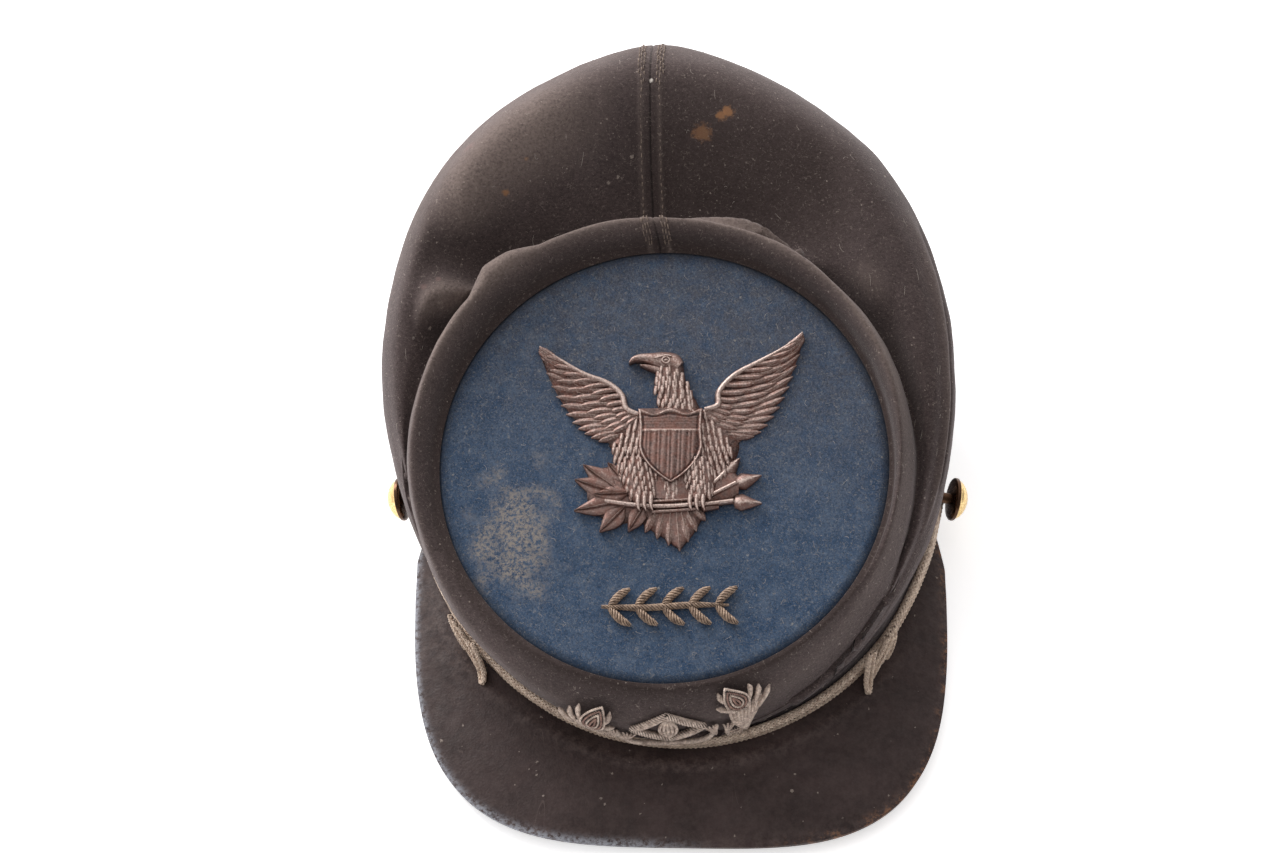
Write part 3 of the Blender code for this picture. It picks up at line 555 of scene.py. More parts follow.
# %% Helpers for materials
def new_material(name):
    material = bpy.data.materials.new(name)
    material.use_nodes = True
    return material, material.node_tree, material.node_tree.nodes["Principled BSDF"]


def use_group(tree, group, **inputs):
    node = tree.nodes.new("ShaderNodeGroup")
    node.node_tree = group
    for key, value in inputs.items():
        node.inputs[key].default_value = value
    return node


def attribute(tree, name):
    return add_node(tree, "ShaderNodeAttribute", attribute_name=name).outputs["Fac"]


def bump(tree, shader, height, distance, strength=1.0):
    inputs = {"Height": height, "Distance": distance * MM, "Strength": strength}
    tree.links.new(add_node(tree, "ShaderNodeBump", inputs).outputs["Normal"], shader.inputs["Normal"])


# %% [markdown]
# ## Dark wool
# The cloth is fulled wool, once dark blue and now a warm brown-black. It is greyer where folds rub and it
# holds lint, a few orange stains near the back seam and some small ones. The tops of the folds and the roll's
# crest are lighter, partly from rubbing and partly as painted highlight, and the roll's inner side, the
# hollows and the seam groove are darker as painted shade. The colour is built from broad fading, a finer
# mottle and the nap's grain. Sheen gives wool its pale edge, where loose fibres catch the light from behind.

# %% Dark wool material
WOOL_DARK = linear(68, 58, 57)
WOOL_MID = linear(80, 69, 68)
# A lighter colour for rubbed cloth, and for the painted highlight on the tops of folds and the roll's crest.
WOOL_WORN_AND_LIT = linear(124, 110, 104)
# The colour of the painted shade on the roll's inner side and in the hollows of the folds.
WOOL_PAINTED_SHADE = linear(48, 38, 35)
LINT_COLOUR = linear(176, 162, 152)
ORANGE_STAIN = linear(150, 108, 76)
PINK_STAIN = linear(118, 94, 90)
PALE_LINT = linear(214, 206, 198)
STAINS = {
    # name: place on the crown (angle in degrees, station), radius in mm, strength, colour
    "rear_orange_low": (161.0, 6.3, 2.1, 0.8, ORANGE_STAIN),
    "rear_orange_high": (162.8, 6.4, 2.1, 0.8, ORANGE_STAIN),
    "rear_orange_pale": (168.0, 6.7, 3.4, 0.5, ORANGE_STAIN),
    "left_small": (-142.0, 6.85, 1.3, 0.75, ORANGE_STAIN),
    "left_smaller": (-147.0, 6.6, 0.8, 0.5, ORANGE_STAIN),
    "left_faint": (-134.0, 5.55, 2.4, 0.4, PINK_STAIN),
    "left_pinch_rub": (-121.0, 7.05, 1.3, 0.35, PINK_STAIN),
    "left_pinch_rub_low": (-115.5, 6.75, 1.5, 0.35, PINK_STAIN),
    "seam_lint": (-178.3, 6.1, 0.7, 0.9, PALE_LINT),
}


def wool_material(name, dark, mid, worn, nap_scale=1500.0):
    material, tree, shader = new_material(name)
    fading = map_range(tree, noise_node(tree, 22.0, 3.0, 0.55), 0.36, 0.64)
    colour = mix_colour(tree, fading, dark, mid)
    mottle = map_range(tree, noise_node(tree, 340.0, 4.0, 0.7), 0.3, 0.7, 0.93, 1.07)
    fuzz = use_group(tree, nap, Scale=nap_scale, Streak=0.6)
    grain = map_range(tree, fuzz.outputs["Grain"], 0.0, 1.0, 0.55, 1.5)
    shade = calculate(tree, "MULTIPLY", mottle, grain)
    colour = mix_colour(tree, 1.0, colour, shade, "MULTIPLY")
    # Painted shade: darker on the roll's inner side and in the hollows of the folds.
    colour = mix_colour(tree, attribute(tree, "soil"), colour, WOOL_PAINTED_SHADE)
    # Painted shadow: a dark line along the seam groove.
    colour = cover(tree, colour, linear(24, 19, 19), attribute(tree, "seam"), 0.75)
    # Lighter where the cloth is rubbed, and on the tops of folds and the roll's crest as painted highlight.
    rub_and_highlight = calculate(
        tree, "MULTIPLY", attribute(tree, "wear"),
        map_range(tree, noise_node(tree, 1100.0, 4.0, 0.7), 0.2, 0.6)
    )
    colour = mix_colour(tree, rub_and_highlight, colour, worn)
    for scale, width, share, strength in ((380.0, 0.012, 0.46, 0.3), (760.0, 0.022, 0.44, 0.3)):
        curls = use_group(tree, fibres, Scale=scale, Width=width, Share=share)
        colour = cover(tree, colour, LINT_COLOUR, curls.outputs["Mask"], strength)
    for scale, share in ((700.0, 0.003), (1500.0, 0.014)):
        specks = use_group(tree, lint, Scale=scale, Share=share)
        colour = cover(tree, colour, LINT_COLOUR, specks.outputs["Mask"], 0.5)
    for angle, station, radius, strength, stain_colour in STAINS.values():
        centre = in_metres(crown_point(np.array(math.radians(angle)), np.array(station)))
        stain = use_group(tree, spot, Centre=centre, Radius=radius * MM, Ragged=0.5)
        colour = cover(tree, colour, stain_colour, stain.outputs["Mask"], strength)
    tree.links.new(colour, shader.inputs["Base Color"])
    shader.inputs["Roughness"].default_value = 0.95
    shader.inputs["Specular IOR Level"].default_value = 0.15
    shader.inputs["Sheen Weight"].default_value = 0.18
    shader.inputs["Sheen Roughness"].default_value = 0.5
    shader.inputs["Sheen Tint"].default_value = (1.0, 0.93, 0.93, 1.0)
    bump(tree, shader, fuzz.outputs["Height"], 0.35, 0.7)
    return material


dark_wool = wool_material("dark_wool", WOOL_DARK, WOOL_MID, WOOL_WORN_AND_LIT)
band_wool = wool_material("band_wool", linear(58, 51, 52), linear(74, 66, 67), linear(104, 94, 90))
print("made", dark_wool.name, "and", band_wool.name)

# %% [markdown]
# ## The crown
# The fine crown is a grid of the same cloth with one column every millimetre or two, closer together at the
# back where the seam needs them. Besides the folds it gets what only a fine mesh can show: a narrow groove
# along the back seam, the raised seam allowance on each side of it, puckers from the stitches, and slow waves
# in the wool.

# %% Crown
CROWN_COLUMNS = 400
CROWN_ROWS_PER_STATION = 8
CROWN_THICKNESS = 1.8
SEAM_CLOSENESS = 0.8  # how much closer together the columns are at the back seam
SEAM_ANGLE = math.radians(-178)
SEAM_GROOVE = (0.35, 0.3)  # depth and half width
SEAM_ALLOWANCE = (0.25, 3.6)  # height and half width
PUCKER_HEIGHT = 0.14
PUCKER_LENGTH = 5.2
PUCKER_REACH = 7.0
# The crest and the fold tops are lightened partly as real rubbing and partly as painted highlight.
CREST_WEAR_AND_HIGHLIGHT = 0.22
CREST_WEAR_AND_HIGHLIGHT_AT_BACK = 0.9
CREST_WEAR_AND_HIGHLIGHT_WIDTH = 0.75  # in stations
FOLD_WEAR_AND_HIGHLIGHT = 0.85
FOLD_FULLY_LIGHTENED = 3.4  # the height of a fold whose top is fully worn and lightened as painted highlight
SEAM_WEAR = 0.35
SEAM_WEAR_PLACE = 3.0  # its distance from the seam
SEAM_WEAR_WIDTH = 0.9
BACK_WEAR = 0.25
BACK_WEAR_STATION = 4.2
BACK_WEAR_WIDTH = 1.3  # in stations
# Painted shade on the roll's inner side, towards the felt, and in the hollows of the folds.
ROLL_PAINTED_SHADE = 0.55
HOLLOW_PAINTED_SHADE = 0.5
HOLLOW_FULLY_SHADED = 4.0  # the depth of a hollow that gets all its painted shade
MOST_PAINTED_SHADE = 0.85
WAVE_HEIGHT = 0.7
WAVE_LENGTH = 26.0
FINE_WAVE_HEIGHT = 0.18
FINE_WAVE_LENGTH = 7.0


def wave(points, length, seed):
    """Smooth noise from -1 to 1 at every point."""
    flat = points.reshape(-1, 3) / length
    values = [noise.noise(Vector(point) + Vector((seed, 0, 0))) for point in flat]
    return np.array(values).reshape(points.shape[:-1])


turns = np.linspace(-math.pi, math.pi, CROWN_COLUMNS + 1)
angles = turns + SEAM_CLOSENESS * np.sin(turns)
stations = np.linspace(0, STATIONS["lip"], STATIONS["lip"] * CROWN_ROWS_PER_STATION + 1)
angles, stations = np.meshgrid(angles, stations)
base = crown_point(angles, stations)
seam_line = crown_point(np.full_like(stations[:, :1], SEAM_ANGLE), stations[:, :1])
from_seam = np.abs(base[..., 0] - seam_line[..., 0]) + 200.0 * (np.cos(angles) > 0)
along_seam = base[..., 1] + base[..., 2]
groove = -SEAM_GROOVE[0] * hump(from_seam, 0.0, SEAM_GROOVE[1])
allowance = SEAM_ALLOWANCE[0] * smooth_step((SEAM_ALLOWANCE[1] + 0.8 - from_seam) / 0.9)
pucker = PUCKER_HEIGHT * np.sin(2 * math.pi * along_seam / PUCKER_LENGTH) * hump(from_seam, 0.0, PUCKER_REACH)
edges = smooth_step(stations / 0.6) * smooth_step((STATIONS["lip"] - stations) / 1.0)
relief = WAVE_HEIGHT * wave(base, WAVE_LENGTH, 3.1) + FINE_WAVE_HEIGHT * wave(base, FINE_WAVE_LENGTH, 8.7)
cloth = crown_point(angles, stations, (relief + groove + allowance + pucker) * edges)
cloth[:, -1] = cloth[:, 0]

folds = fold_height(angles, stations)
at_back = smooth_step(-np.cos(angles) / 0.6)
# The roll's crest and the tops of folds are lightened partly as rubbing and partly as painted highlight.
on_crest = hump(stations, STATIONS["roll_crest"] - 0.3, CREST_WEAR_AND_HIGHLIGHT_WIDTH)
crest_wear = (CREST_WEAR_AND_HIGHLIGHT + CREST_WEAR_AND_HIGHLIGHT_AT_BACK * at_back) * on_crest
fold_wear = FOLD_WEAR_AND_HIGHLIGHT * np.clip(folds / FOLD_FULLY_LIGHTENED, 0.0, 1.0)
seam_wear = SEAM_WEAR * hump(from_seam, SEAM_WEAR_PLACE, SEAM_WEAR_WIDTH)
back_wear = (
    BACK_WEAR * hump(stations, BACK_WEAR_STATION, BACK_WEAR_WIDTH) * (1.0 + 0.6 * np.sin(-angles)) * at_back
)
wear = np.clip(crest_wear + fold_wear + seam_wear + back_wear, 0.0, 1.0)
# Painted shade: the roll's inner side and the hollows of the folds are darkened.
roll_soil = ROLL_PAINTED_SHADE * smooth_step((stations - STATIONS["roll_crest"] - 0.6) / 1.4)
soil = np.clip(roll_soil + HOLLOW_PAINTED_SHADE * np.clip(-folds / HOLLOW_FULLY_SHADED, 0.0, 1.0), 0.0, MOST_PAINTED_SHADE)
# Painted shadow along the seam groove.
seam_painted_shadow = hump(from_seam, 0.0, SEAM_GROOVE[1])
crown = finish_mesh(
    "crown_cloth", moved_grid(cloth, closed=True, wear=wear, soil=soil, seam=seam_painted_shadow), dark_wool, 180
)
add_wall(crown, CROWN_THICKNESS)
dress(crown, "dark_cloth", "crown")
print("crown quads:", len(crown.data.polygons))

# %% [markdown]
# ## The band
# The band stands nearly upright round the head. It is the same wool, turned in at the rim, and the crown is
# sewn to its upper edge. It is a grid as well, with a rounded rim from the Bevel modifier.

# %% Band
RIM_RISE = 7.0
RIM_RISE_ENDS_AT_COS = 0.55
BAND_THICKNESS = 2.4
BAND_COLUMNS = 260
BAND_ROWS = 14
BAND_SWELL = 0.25
BAND_SWELL_LENGTH = 18.0
BAND_TURNED_IN = 0.5  # how far the band goes in at the seam
BAND_TURN_WIDTH = 1.2
BAND_WEAR = 0.4
BAND_WEAR_WIDTH = 1.6
GAP = 0.3


def rim_height(angle):
    return RIM_RISE * smooth_step(np.cos(angle) / RIM_RISE_ENDS_AT_COS)


def band_outward(angle):
    outward = np.stack(
        (np.sin(angle) / HEAD_HALF_WIDTH, -np.cos(angle) / HEAD_HALF_LENGTH, 0 * angle), axis=-1
    )
    return outward / np.linalg.norm(outward, axis=-1, keepdims=True)


def band_point(angle, height, lift=0.0):
    """Points of the band's outer face, which stands nearly upright from the rim to the crown seam."""
    angle, height = np.broadcast_arrays(np.asarray(angle, float), np.asarray(height, float))
    seam = ring_point(np.broadcast_to(CROWN_SECTIONS["seam"], (*angle.shape, 9)), angle)
    rim = np.stack(
        (HEAD_HALF_WIDTH * np.sin(angle), -HEAD_HALF_LENGTH * np.cos(angle), rim_height(angle)), axis=-1
    )
    part = (height - rim[..., 2]) / (seam[..., 2] - rim[..., 2])
    return rim + (seam - rim) * part[..., None] + np.asarray(lift)[..., None] * band_outward(angle)


angles = np.linspace(-math.pi, math.pi, BAND_COLUMNS + 1)
low = rim_height(angles)
high = ring_point(np.broadcast_to(CROWN_SECTIONS["seam"], (len(angles), 9)), angles)[:, 2] - GAP
parts = np.linspace(0, 1, BAND_ROWS)[:, None]
heights = low + (high - low) * parts
angles = np.broadcast_to(angles, heights.shape)
face = band_point(angles, heights)
swell = BAND_SWELL * wave(face, BAND_SWELL_LENGTH, 1.7) * np.sin(math.pi * parts)
turned_in = -BAND_TURNED_IN * hump(high, heights, BAND_TURN_WIDTH)
face = band_point(angles, heights, swell + turned_in)
face[:, -1] = face[:, 0]
band_wear = BAND_WEAR * hump(heights, low, BAND_WEAR_WIDTH)
band = finish_mesh(
    "band_cloth", moved_grid(face, closed=True, wear=band_wear, soil=0.0, seam=0.0), band_wool, 180
)
add_wall(band, BAND_THICKNESS, 0.7)
dress(band, "band_cloth", "band")
print("band quads:", len(band.data.polygons))

# %% [markdown]
# ## The blue top
# The stiff round top is covered with blue felt, a thick wool with a cloudy surface. The blue is strongest at
# the bottom, greyer and browner at the top, and rubbed through to pale threads in one patch at the lower
# left. The felt is an oval disc, made from a circle that is inset ring by ring, so its points can carry slow,
# soft dents.

# %% The disc's own directions
DISC_THICKNESS = 1.8
DISC_UNDER_LIP = 0.7  # the felt runs this far under the edge of the roll


def disc_frame():
    """The middle of the disc's upper face and its three directions: right, up its slope, and out of it."""
    _, y_front, y_back, z_front, _, z_back, _, shift, _ = CROWN_SECTIONS["lip"]
    z = (z_front + z_back) / 2
    middle = np.array((shift - CROWN_LEAN * z, (y_front + y_back) / 2, z))
    up = np.array((-CROWN_LEAN * (z_back - z_front), y_back - y_front, z_back - z_front))
    half_length = np.linalg.norm(up) / 2
    up /= 2 * half_length
    right = np.array((1.0, 0.0, 0.0)) - up[0] * up
    right /= np.linalg.norm(right)
    return middle, right, up, np.cross(right, up), half_length


DISC_MIDDLE, DISC_RIGHT, DISC_UP, DISC_OUT, DISC_HALF_LENGTH = disc_frame()


def on_disc(x, y, lift=0.0):
    """Points in the disc's plane, with x to the right, y up the slope and a height above the felt."""
    x, y, lift = (np.asarray(value, float)[..., None] for value in (x, y, lift))
    return DISC_MIDDLE + x * DISC_RIGHT + y * DISC_UP + lift * DISC_OUT


print("disc half length, mm:", round(DISC_HALF_LENGTH, 1))

# %% Felt material
FELT_DEEP = linear(52, 72, 98)
FELT_MID = linear(78, 93, 114)
FELT_AGED = linear(84, 82, 86)
FELT_THREADS = linear(150, 140, 130)
FELT_DUST = linear(168, 162, 152)

blue_felt, tree, shader = new_material("blue_felt")
clouds = map_range(tree, noise_node(tree, 190.0, 5.0, 0.65), 0.34, 0.66)
colour = mix_colour(tree, clouds, FELT_DEEP, FELT_MID)
aged = calculate(
    tree, "MULTIPLY", attribute(tree, "aged"), map_range(tree, noise_node(tree, 260.0, 5.0, 0.7), 0.25, 0.7)
)
colour = mix_colour(tree, aged, colour, FELT_AGED)
fuzz = use_group(tree, nap, Scale=1100.0, Streak=1.3)
colour = mix_colour(tree, 1.0, colour, map_range(tree, fuzz.outputs["Grain"], 0.0, 1.0, 0.6, 1.4), "MULTIPLY")
holes = map_range(tree, noise_node(tree, 900.0, 5.0, 0.8), 0.44, 0.56)
threads = calculate(tree, "MULTIPLY", attribute(tree, "worn"), holes)
colour = mix_colour(tree, threads, colour, FELT_THREADS)
for scale, width, share, strength in (
    (300.0, 0.01, 0.52, 0.26), (560.0, 0.018, 0.5, 0.36), (900.0, 0.034, 0.48, 0.34)
):
    curls = use_group(tree, fibres, Scale=scale, Width=width, Share=share)
    colour = cover(tree, colour, FELT_DUST, curls.outputs["Mask"], strength)
specks = use_group(tree, lint, Scale=1100.0, Share=0.008)
colour = cover(tree, colour, FELT_DUST, specks.outputs["Mask"], 0.5)
# Painted shade: darker round the edge of the disc, where the roll overhangs it.
colour = cover(tree, colour, linear(30, 34, 44), attribute(tree, "edge"), 0.55)
tree.links.new(colour, shader.inputs["Base Color"])
shader.inputs["Roughness"].default_value = 0.95
shader.inputs["Specular IOR Level"].default_value = 0.15
shader.inputs["Sheen Weight"].default_value = 0.15
shader.inputs["Sheen Roughness"].default_value = 0.5
shader.inputs["Sheen Tint"].default_value = (0.7, 0.8, 1.0, 1.0)
bump(tree, shader, fuzz.outputs["Height"], 0.5, 0.8)
print("made", blue_felt.name)

# %% Felt top
DISC_SEGMENTS = 160
DISC_RINGS = 56
WORN_MIDDLE = (-46.5, -22.5)  # of the pale patch, from the disc's middle
WORN_SIZE = (11.0, 17.0)

felt = bmesh.new()
bmesh.ops.create_circle(felt, cap_ends=True, segments=DISC_SEGMENTS, radius=1.0)
rim = felt.faces[:]
for ring in range(DISC_RINGS - 1):
    bmesh.ops.inset_region(felt, faces=rim, thickness=1.0 / DISC_RINGS, use_boundary=True)
bmesh.ops.poke(felt, faces=rim)
wide = CROWN_SECTIONS["lip"][0] + DISC_UNDER_LIP
long = DISC_HALF_LENGTH + DISC_UNDER_LIP
layers = {name: felt.verts.layers.float.new(name) for name in ("aged", "worn", "edge")}
for vert in felt.verts:
    reach = vert.co.length
    x = vert.co.x * wide - vert.co.y * CROWN_SECTIONS["lip"][8]
    y = vert.co.y * long + x * DISC_UP[0]
    dent = 0.35 * noise.noise(Vector((x / 16, y / 16, 2.0))) + 0.1 * noise.noise(Vector((x / 4, y / 4, 5.0)))
    drop = 1.2 * smooth_step((reach - 0.965) / 0.035)
    patch = math.hypot((x - WORN_MIDDLE[0]) / WORN_SIZE[0], (y - WORN_MIDDLE[1]) / WORN_SIZE[1])
    vert[layers["aged"]] = 0.75 * smooth_step((y + 0.25 * x + 25.0) / 75.0)
    vert[layers["worn"]] = 0.9 * smooth_step(
        (1.45 - patch + 0.9 * noise.noise(Vector((x / 6, y / 6, 9.0)))) / 1.1
    )
    # Painted shade round the rim of the disc, under the roll.
    vert[layers["edge"]] = smooth_step((reach - 0.93) / 0.06)
    vert.co = in_metres(on_disc(x, y, dent * (1 - reach**6) - drop))
disc = finish_mesh("felt_top", felt, blue_felt, 60)
add_wall(disc, DISC_THICKNESS - 0.2)
dress(disc, "disc_cloth", "crown_disc")
print("felt faces:", len(disc.data.polygons))

# %% [markdown]
# ## The peak
# The peak is one piece of dark glazed leather, sewn under the front of the rim. It comes down to rest on its
# own outer edge, and bows up a little on the way. The grid runs from the rim outwards, its thickness comes
# from Solidify, and a bevel rounds the cut edge. Scratches, dull scuffs and brown rubbing on the right of the
# edge tell its age. The pale bluish left edge is partly wear and partly painted rim light.

# %% Leather material
LEATHER_DARK = linear(49, 38, 37)
LEATHER_MID = linear(64, 51, 50)
LEATHER_SCUFF = linear(100, 86, 82)
LEATHER_RAW = linear(138, 100, 76)
# A pale bluish edge colour, partly worn leather and partly painted rim light.
LEATHER_EDGE_AND_RIM_LIGHT = linear(150, 152, 160)

peak_leather, tree, shader = new_material("glazed_leather")
cloudy = map_range(tree, noise_node(tree, 60.0, 4.0, 0.6), 0.35, 0.65)
colour = mix_colour(tree, cloudy, LEATHER_DARK, LEATHER_MID)
mottle = map_range(tree, noise_node(tree, 1300.0, 4.0, 0.7), 0.3, 0.7, 0.84, 1.16)
colour = mix_colour(tree, 1.0, colour, mottle, "MULTIPLY")
scuffs = calculate(
    tree, "MULTIPLY", attribute(tree, "scuff"), map_range(tree, noise_node(tree, 380.0, 6.0, 0.75), 0.4, 0.62)
)
colour = cover(tree, colour, LEATHER_SCUFF, scuffs, 0.7)
lines = use_group(tree, scratches, Scale=110.0, Width=0.012)
colour = cover(tree, colour, LEATHER_SCUFF, lines.outputs["Mask"], 0.45)
specks = use_group(tree, lint, Scale=900.0, Share=0.012)
colour = cover(tree, colour, LINT_COLOUR, specks.outputs["Mask"], 0.5)
rubbed = calculate(
    tree, "MULTIPLY", attribute(tree, "raw"), map_range(tree, noise_node(tree, 320.0, 5.0, 0.8), 0.5, 0.62)
)
colour = mix_colour(tree, rubbed, colour, LEATHER_RAW)
# The pale bluish left edge, partly wear and partly painted rim light.
pale_and_rim_light = calculate(
    tree, "MULTIPLY", attribute(tree, "pale_edge_and_rim_light"),
    map_range(tree, noise_node(tree, 600.0, 5.0, 0.8), 0.4, 0.55)
)
colour = mix_colour(tree, pale_and_rim_light, colour, LEATHER_EDGE_AND_RIM_LIGHT)
tree.links.new(colour, shader.inputs["Base Color"])
roughness = map_range(tree, noise_node(tree, 230.0, 5.0, 0.7), 0.3, 0.7, 0.5, 0.74)
tree.links.new(roughness, shader.inputs["Roughness"])
shader.inputs["Specular IOR Level"].default_value = 0.22
pebbles = add_node(
    tree, "ShaderNodeTexVoronoi", {"Vector": object_place(tree), "Scale": 1300.0}
).outputs["Distance"]
surface = calculate(tree, "ADD", pebbles, calculate(tree, "MULTIPLY", noise_node(tree, 800.0, 5.0, 0.7), 1.4))
bump(tree, shader, surface, 0.12, 0.6)
print("made", peak_leather.name)

# %% Peak
PEAK_THICKNESS = 2.2
PEAK_TIP_ANGLE = math.radians(76)
PEAK_HALF_WIDTH = 83.8
PEAK_FRONT = 138.5
PEAK_STRAIGHT_TO = 38.0
PEAK_SQUARENESS = 3.5
PEAK_BOW = 1.6
PEAK_BOW_FULL_FROM = 30.0
PEAK_TIP_CLEARANCE = 0.6
PEAK_SKEW = 0.018
PEAK_COLUMNS = 241
PEAK_ROWS = 60
CREASE_HEIGHT = 0.6
CREASE_FROM_BAND = 9.0
CREASE_WIDTH = 1.6
CREASE_HALF_TURN = math.radians(42)
LEATHER_SWELL = 0.35
LEATHER_SWELL_LENGTH = 24.0
PLAIN_SCUFF = 0.25
CREASE_SCUFF = 0.8
CREASE_SCUFF_WIDTH = 2.4
EDGE_SCUFF = 0.5
EDGE_SCUFF_WIDTH = 3.0
LEFT_TIP = (-68, -52)
LEFT_TIP_REACH = (12, 22)
TIP_SCUFF = 0.8
RAW_EDGE_WIDTH = 2.0
PALE_EDGE_AND_RIM_LIGHT_WIDTH = 1.6


def peak_outline(count):
    """Even points along the outer edge of the peak, from one tip round the front to the other."""
    turns = np.linspace(-math.pi / 2, math.pi / 2, 721)
    power = 2 / PEAK_SQUARENESS
    x = PEAK_HALF_WIDTH * np.sign(np.sin(turns)) * np.abs(np.sin(turns)) ** power
    y = -PEAK_STRAIGHT_TO - (PEAK_FRONT - PEAK_STRAIGHT_TO) * np.abs(np.cos(turns)) ** power
    tip_x = (HEAD_HALF_WIDTH + PEAK_TIP_CLEARANCE) * math.sin(PEAK_TIP_ANGLE)
    tip_y = -HEAD_HALF_LENGTH * math.cos(PEAK_TIP_ANGLE)
    x = np.concatenate(((-tip_x,), x, (tip_x,)))
    y = np.concatenate(((tip_y,), y - PEAK_SKEW * x[1:-1], (tip_y,)))
    run = np.concatenate(((0.0,), np.cumsum(np.hypot(np.diff(x), np.diff(y)))))
    even = np.linspace(0, run[-1], count)
    return np.interp(even, run, x), np.interp(even, run, y)


angles = PEAK_TIP_ANGLE * np.linspace(-1, 1, PEAK_COLUMNS)
inner = band_point(angles, rim_height(angles), -BAND_THICKNESS)
inner[:, 2] -= GAP
outer = np.stack((*peak_outline(PEAK_COLUMNS), np.full(PEAK_COLUMNS, PEAK_THICKNESS)), axis=-1)
width = np.linalg.norm((outer - inner)[:, :2], axis=-1)
parts = np.linspace(0, 1, PEAK_ROWS)[:, None]
leather = inner + (outer - inner) * parts[..., None]
leather[..., 2] += PEAK_BOW * np.minimum(width / PEAK_BOW_FULL_FROM, 1.0) * np.sin(math.pi * parts)
from_band = width * parts - BAND_THICKNESS
middle = hump(angles, 0.0, CREASE_HALF_TURN)
crease = CREASE_HEIGHT * middle * hump(from_band, CREASE_FROM_BAND, CREASE_WIDTH)
inside_edge = smooth_step(from_band / 4.0) * smooth_step((width - from_band) / 8.0)
leather[..., 2] += crease + LEATHER_SWELL * wave(leather, LEATHER_SWELL_LENGTH, 4.4) * inside_edge
from_edge = width * (1 - parts)
scuff = CREASE_SCUFF * hump(from_band, CREASE_FROM_BAND, CREASE_SCUFF_WIDTH) * middle + PLAIN_SCUFF
scuff = scuff + EDGE_SCUFF * hump(from_edge, 0.0, EDGE_SCUFF_WIDTH)
left_tip = hump(leather[..., 0], LEFT_TIP[0], LEFT_TIP_REACH[0]) * hump(
    leather[..., 1], LEFT_TIP[1], LEFT_TIP_REACH[1]
)
scuff = scuff + TIP_SCUFF * left_tip
raw = hump(from_edge, 0.0, RAW_EDGE_WIDTH) * smooth_step((leather[..., 0] - 20) / 30)
# Partly wear and partly painted rim light along the left of the edge.
pale_edge_and_rim_light = hump(from_edge, 0.0, PALE_EDGE_AND_RIM_LIGHT_WIDTH) * smooth_step((15 - leather[..., 0]) / 40)
values = {"scuff": np.clip(scuff, 0, 1), "raw": raw, "pale_edge_and_rim_light": pale_edge_and_rim_light}
peak = finish_mesh("peak_leather_top", moved_grid(leather, **values), peak_leather, 60)
add_wall(peak, PEAK_THICKNESS, 0.9)
dress(peak, "peak_leather", "peak")
print("peak quads:", len(peak.data.polygons))

# %% [markdown]
# ## The cast eagle
# The badge is one low casting: an eagle with spread wings, a striped shield on its breast, a leafy branch on
# one side and arrows on the other. It is modelled the way its first maker would carve it, feather by feather.
# A feather is a small domed strip with a raised middle. Rows of them are laid between the two edges of each
# wing, long ones first and short ones over them. Each point knows how high it stands in its own strip, so the
# material can keep the hollows dark.

# %% Cast metal
CAST_HOLLOW = linear(50, 34, 32)
CAST_MID = linear(142, 118, 111)
CAST_BRIGHT = linear(226, 206, 196)
CAST_RED = linear(136, 84, 68)

cast_metal, tree, shader = new_material("cast_badge")
relief = attribute(tree, "relief")
uneven = map_range(tree, noise_node(tree, 1700.0, 4.0, 0.7), 0.3, 0.7, -0.28, 0.28)
height = calculate(tree, "ADD", relief, uneven)
colour = mix_colour(tree, map_range(tree, height, 0.05, 0.6), CAST_HOLLOW, CAST_MID)
patina = map_range(tree, noise_node(tree, 420.0, 4.0, 0.7), 0.42, 0.62, 0.0, 0.7)
colour = mix_colour(tree, patina, colour, mix_colour(tree, 0.6, colour, CAST_RED))
colour = mix_colour(tree, map_range(tree, height, 0.7, 1.05, 0.0, 0.85), colour, CAST_BRIGHT)
tree.links.new(colour, shader.inputs["Base Color"])
tree.links.new(map_range(tree, uneven, -0.28, 0.28, 0.32, 0.58), shader.inputs["Roughness"])
shader.inputs["Metallic"].default_value = 0.55
bump(tree, shader, noise_node(tree, 3000.0, 3.0, 0.6), 0.08, 0.5)
print("made", cast_metal.name)

# %% A place on the badge, and strips laid on it
EAGLE_MIDDLE = (1.6, 7.2)
EAGLE_TURN = math.radians(-0.8)


def on_badge(x, y, lift):
    x, y = np.asarray(x, float), np.asarray(y, float)
    cos, sin = math.cos(EAGLE_TURN), math.sin(EAGLE_TURN)
    return on_disc(EAGLE_MIDDLE[0] + x * cos - y * sin, EAGLE_MIDDLE[1] + x * sin + y * cos, lift)


def add_solid(mesh, sections, relief):
    """Adds a closed solid through closed sections to a mesh, with its ends filled."""
    sections = np.concatenate((sections, sections[:, :1]), axis=1)
    relief = np.concatenate((relief, relief[:, :1]), axis=1)
    rows, columns = sections.shape[:2]
    layer = mesh.verts.layers.float.get("relief") or mesh.verts.layers.float.new("relief")
    verts = bmesh.ops.create_grid(mesh, x_segments=columns - 1, y_segments=rows - 1, size=1)["verts"]
    for vert, place, number in zip(verts, in_metres(sections).reshape(-1, 3), relief.ravel()):
        vert.co = place
        vert[layer] = number
    bmesh.ops.remove_doubles(mesh, verts=verts, dist=1e-6)
    verts = [vert for vert in verts if vert.is_valid]
    open_edges = {edge for vert in verts for edge in vert.link_edges if edge.is_boundary}
    bmesh.ops.holes_fill(mesh, edges=list(open_edges), sides=0)
    faces = {face for vert in verts for face in vert.link_faces}
    bmesh.ops.recalc_face_normals(mesh, faces=list(faces))


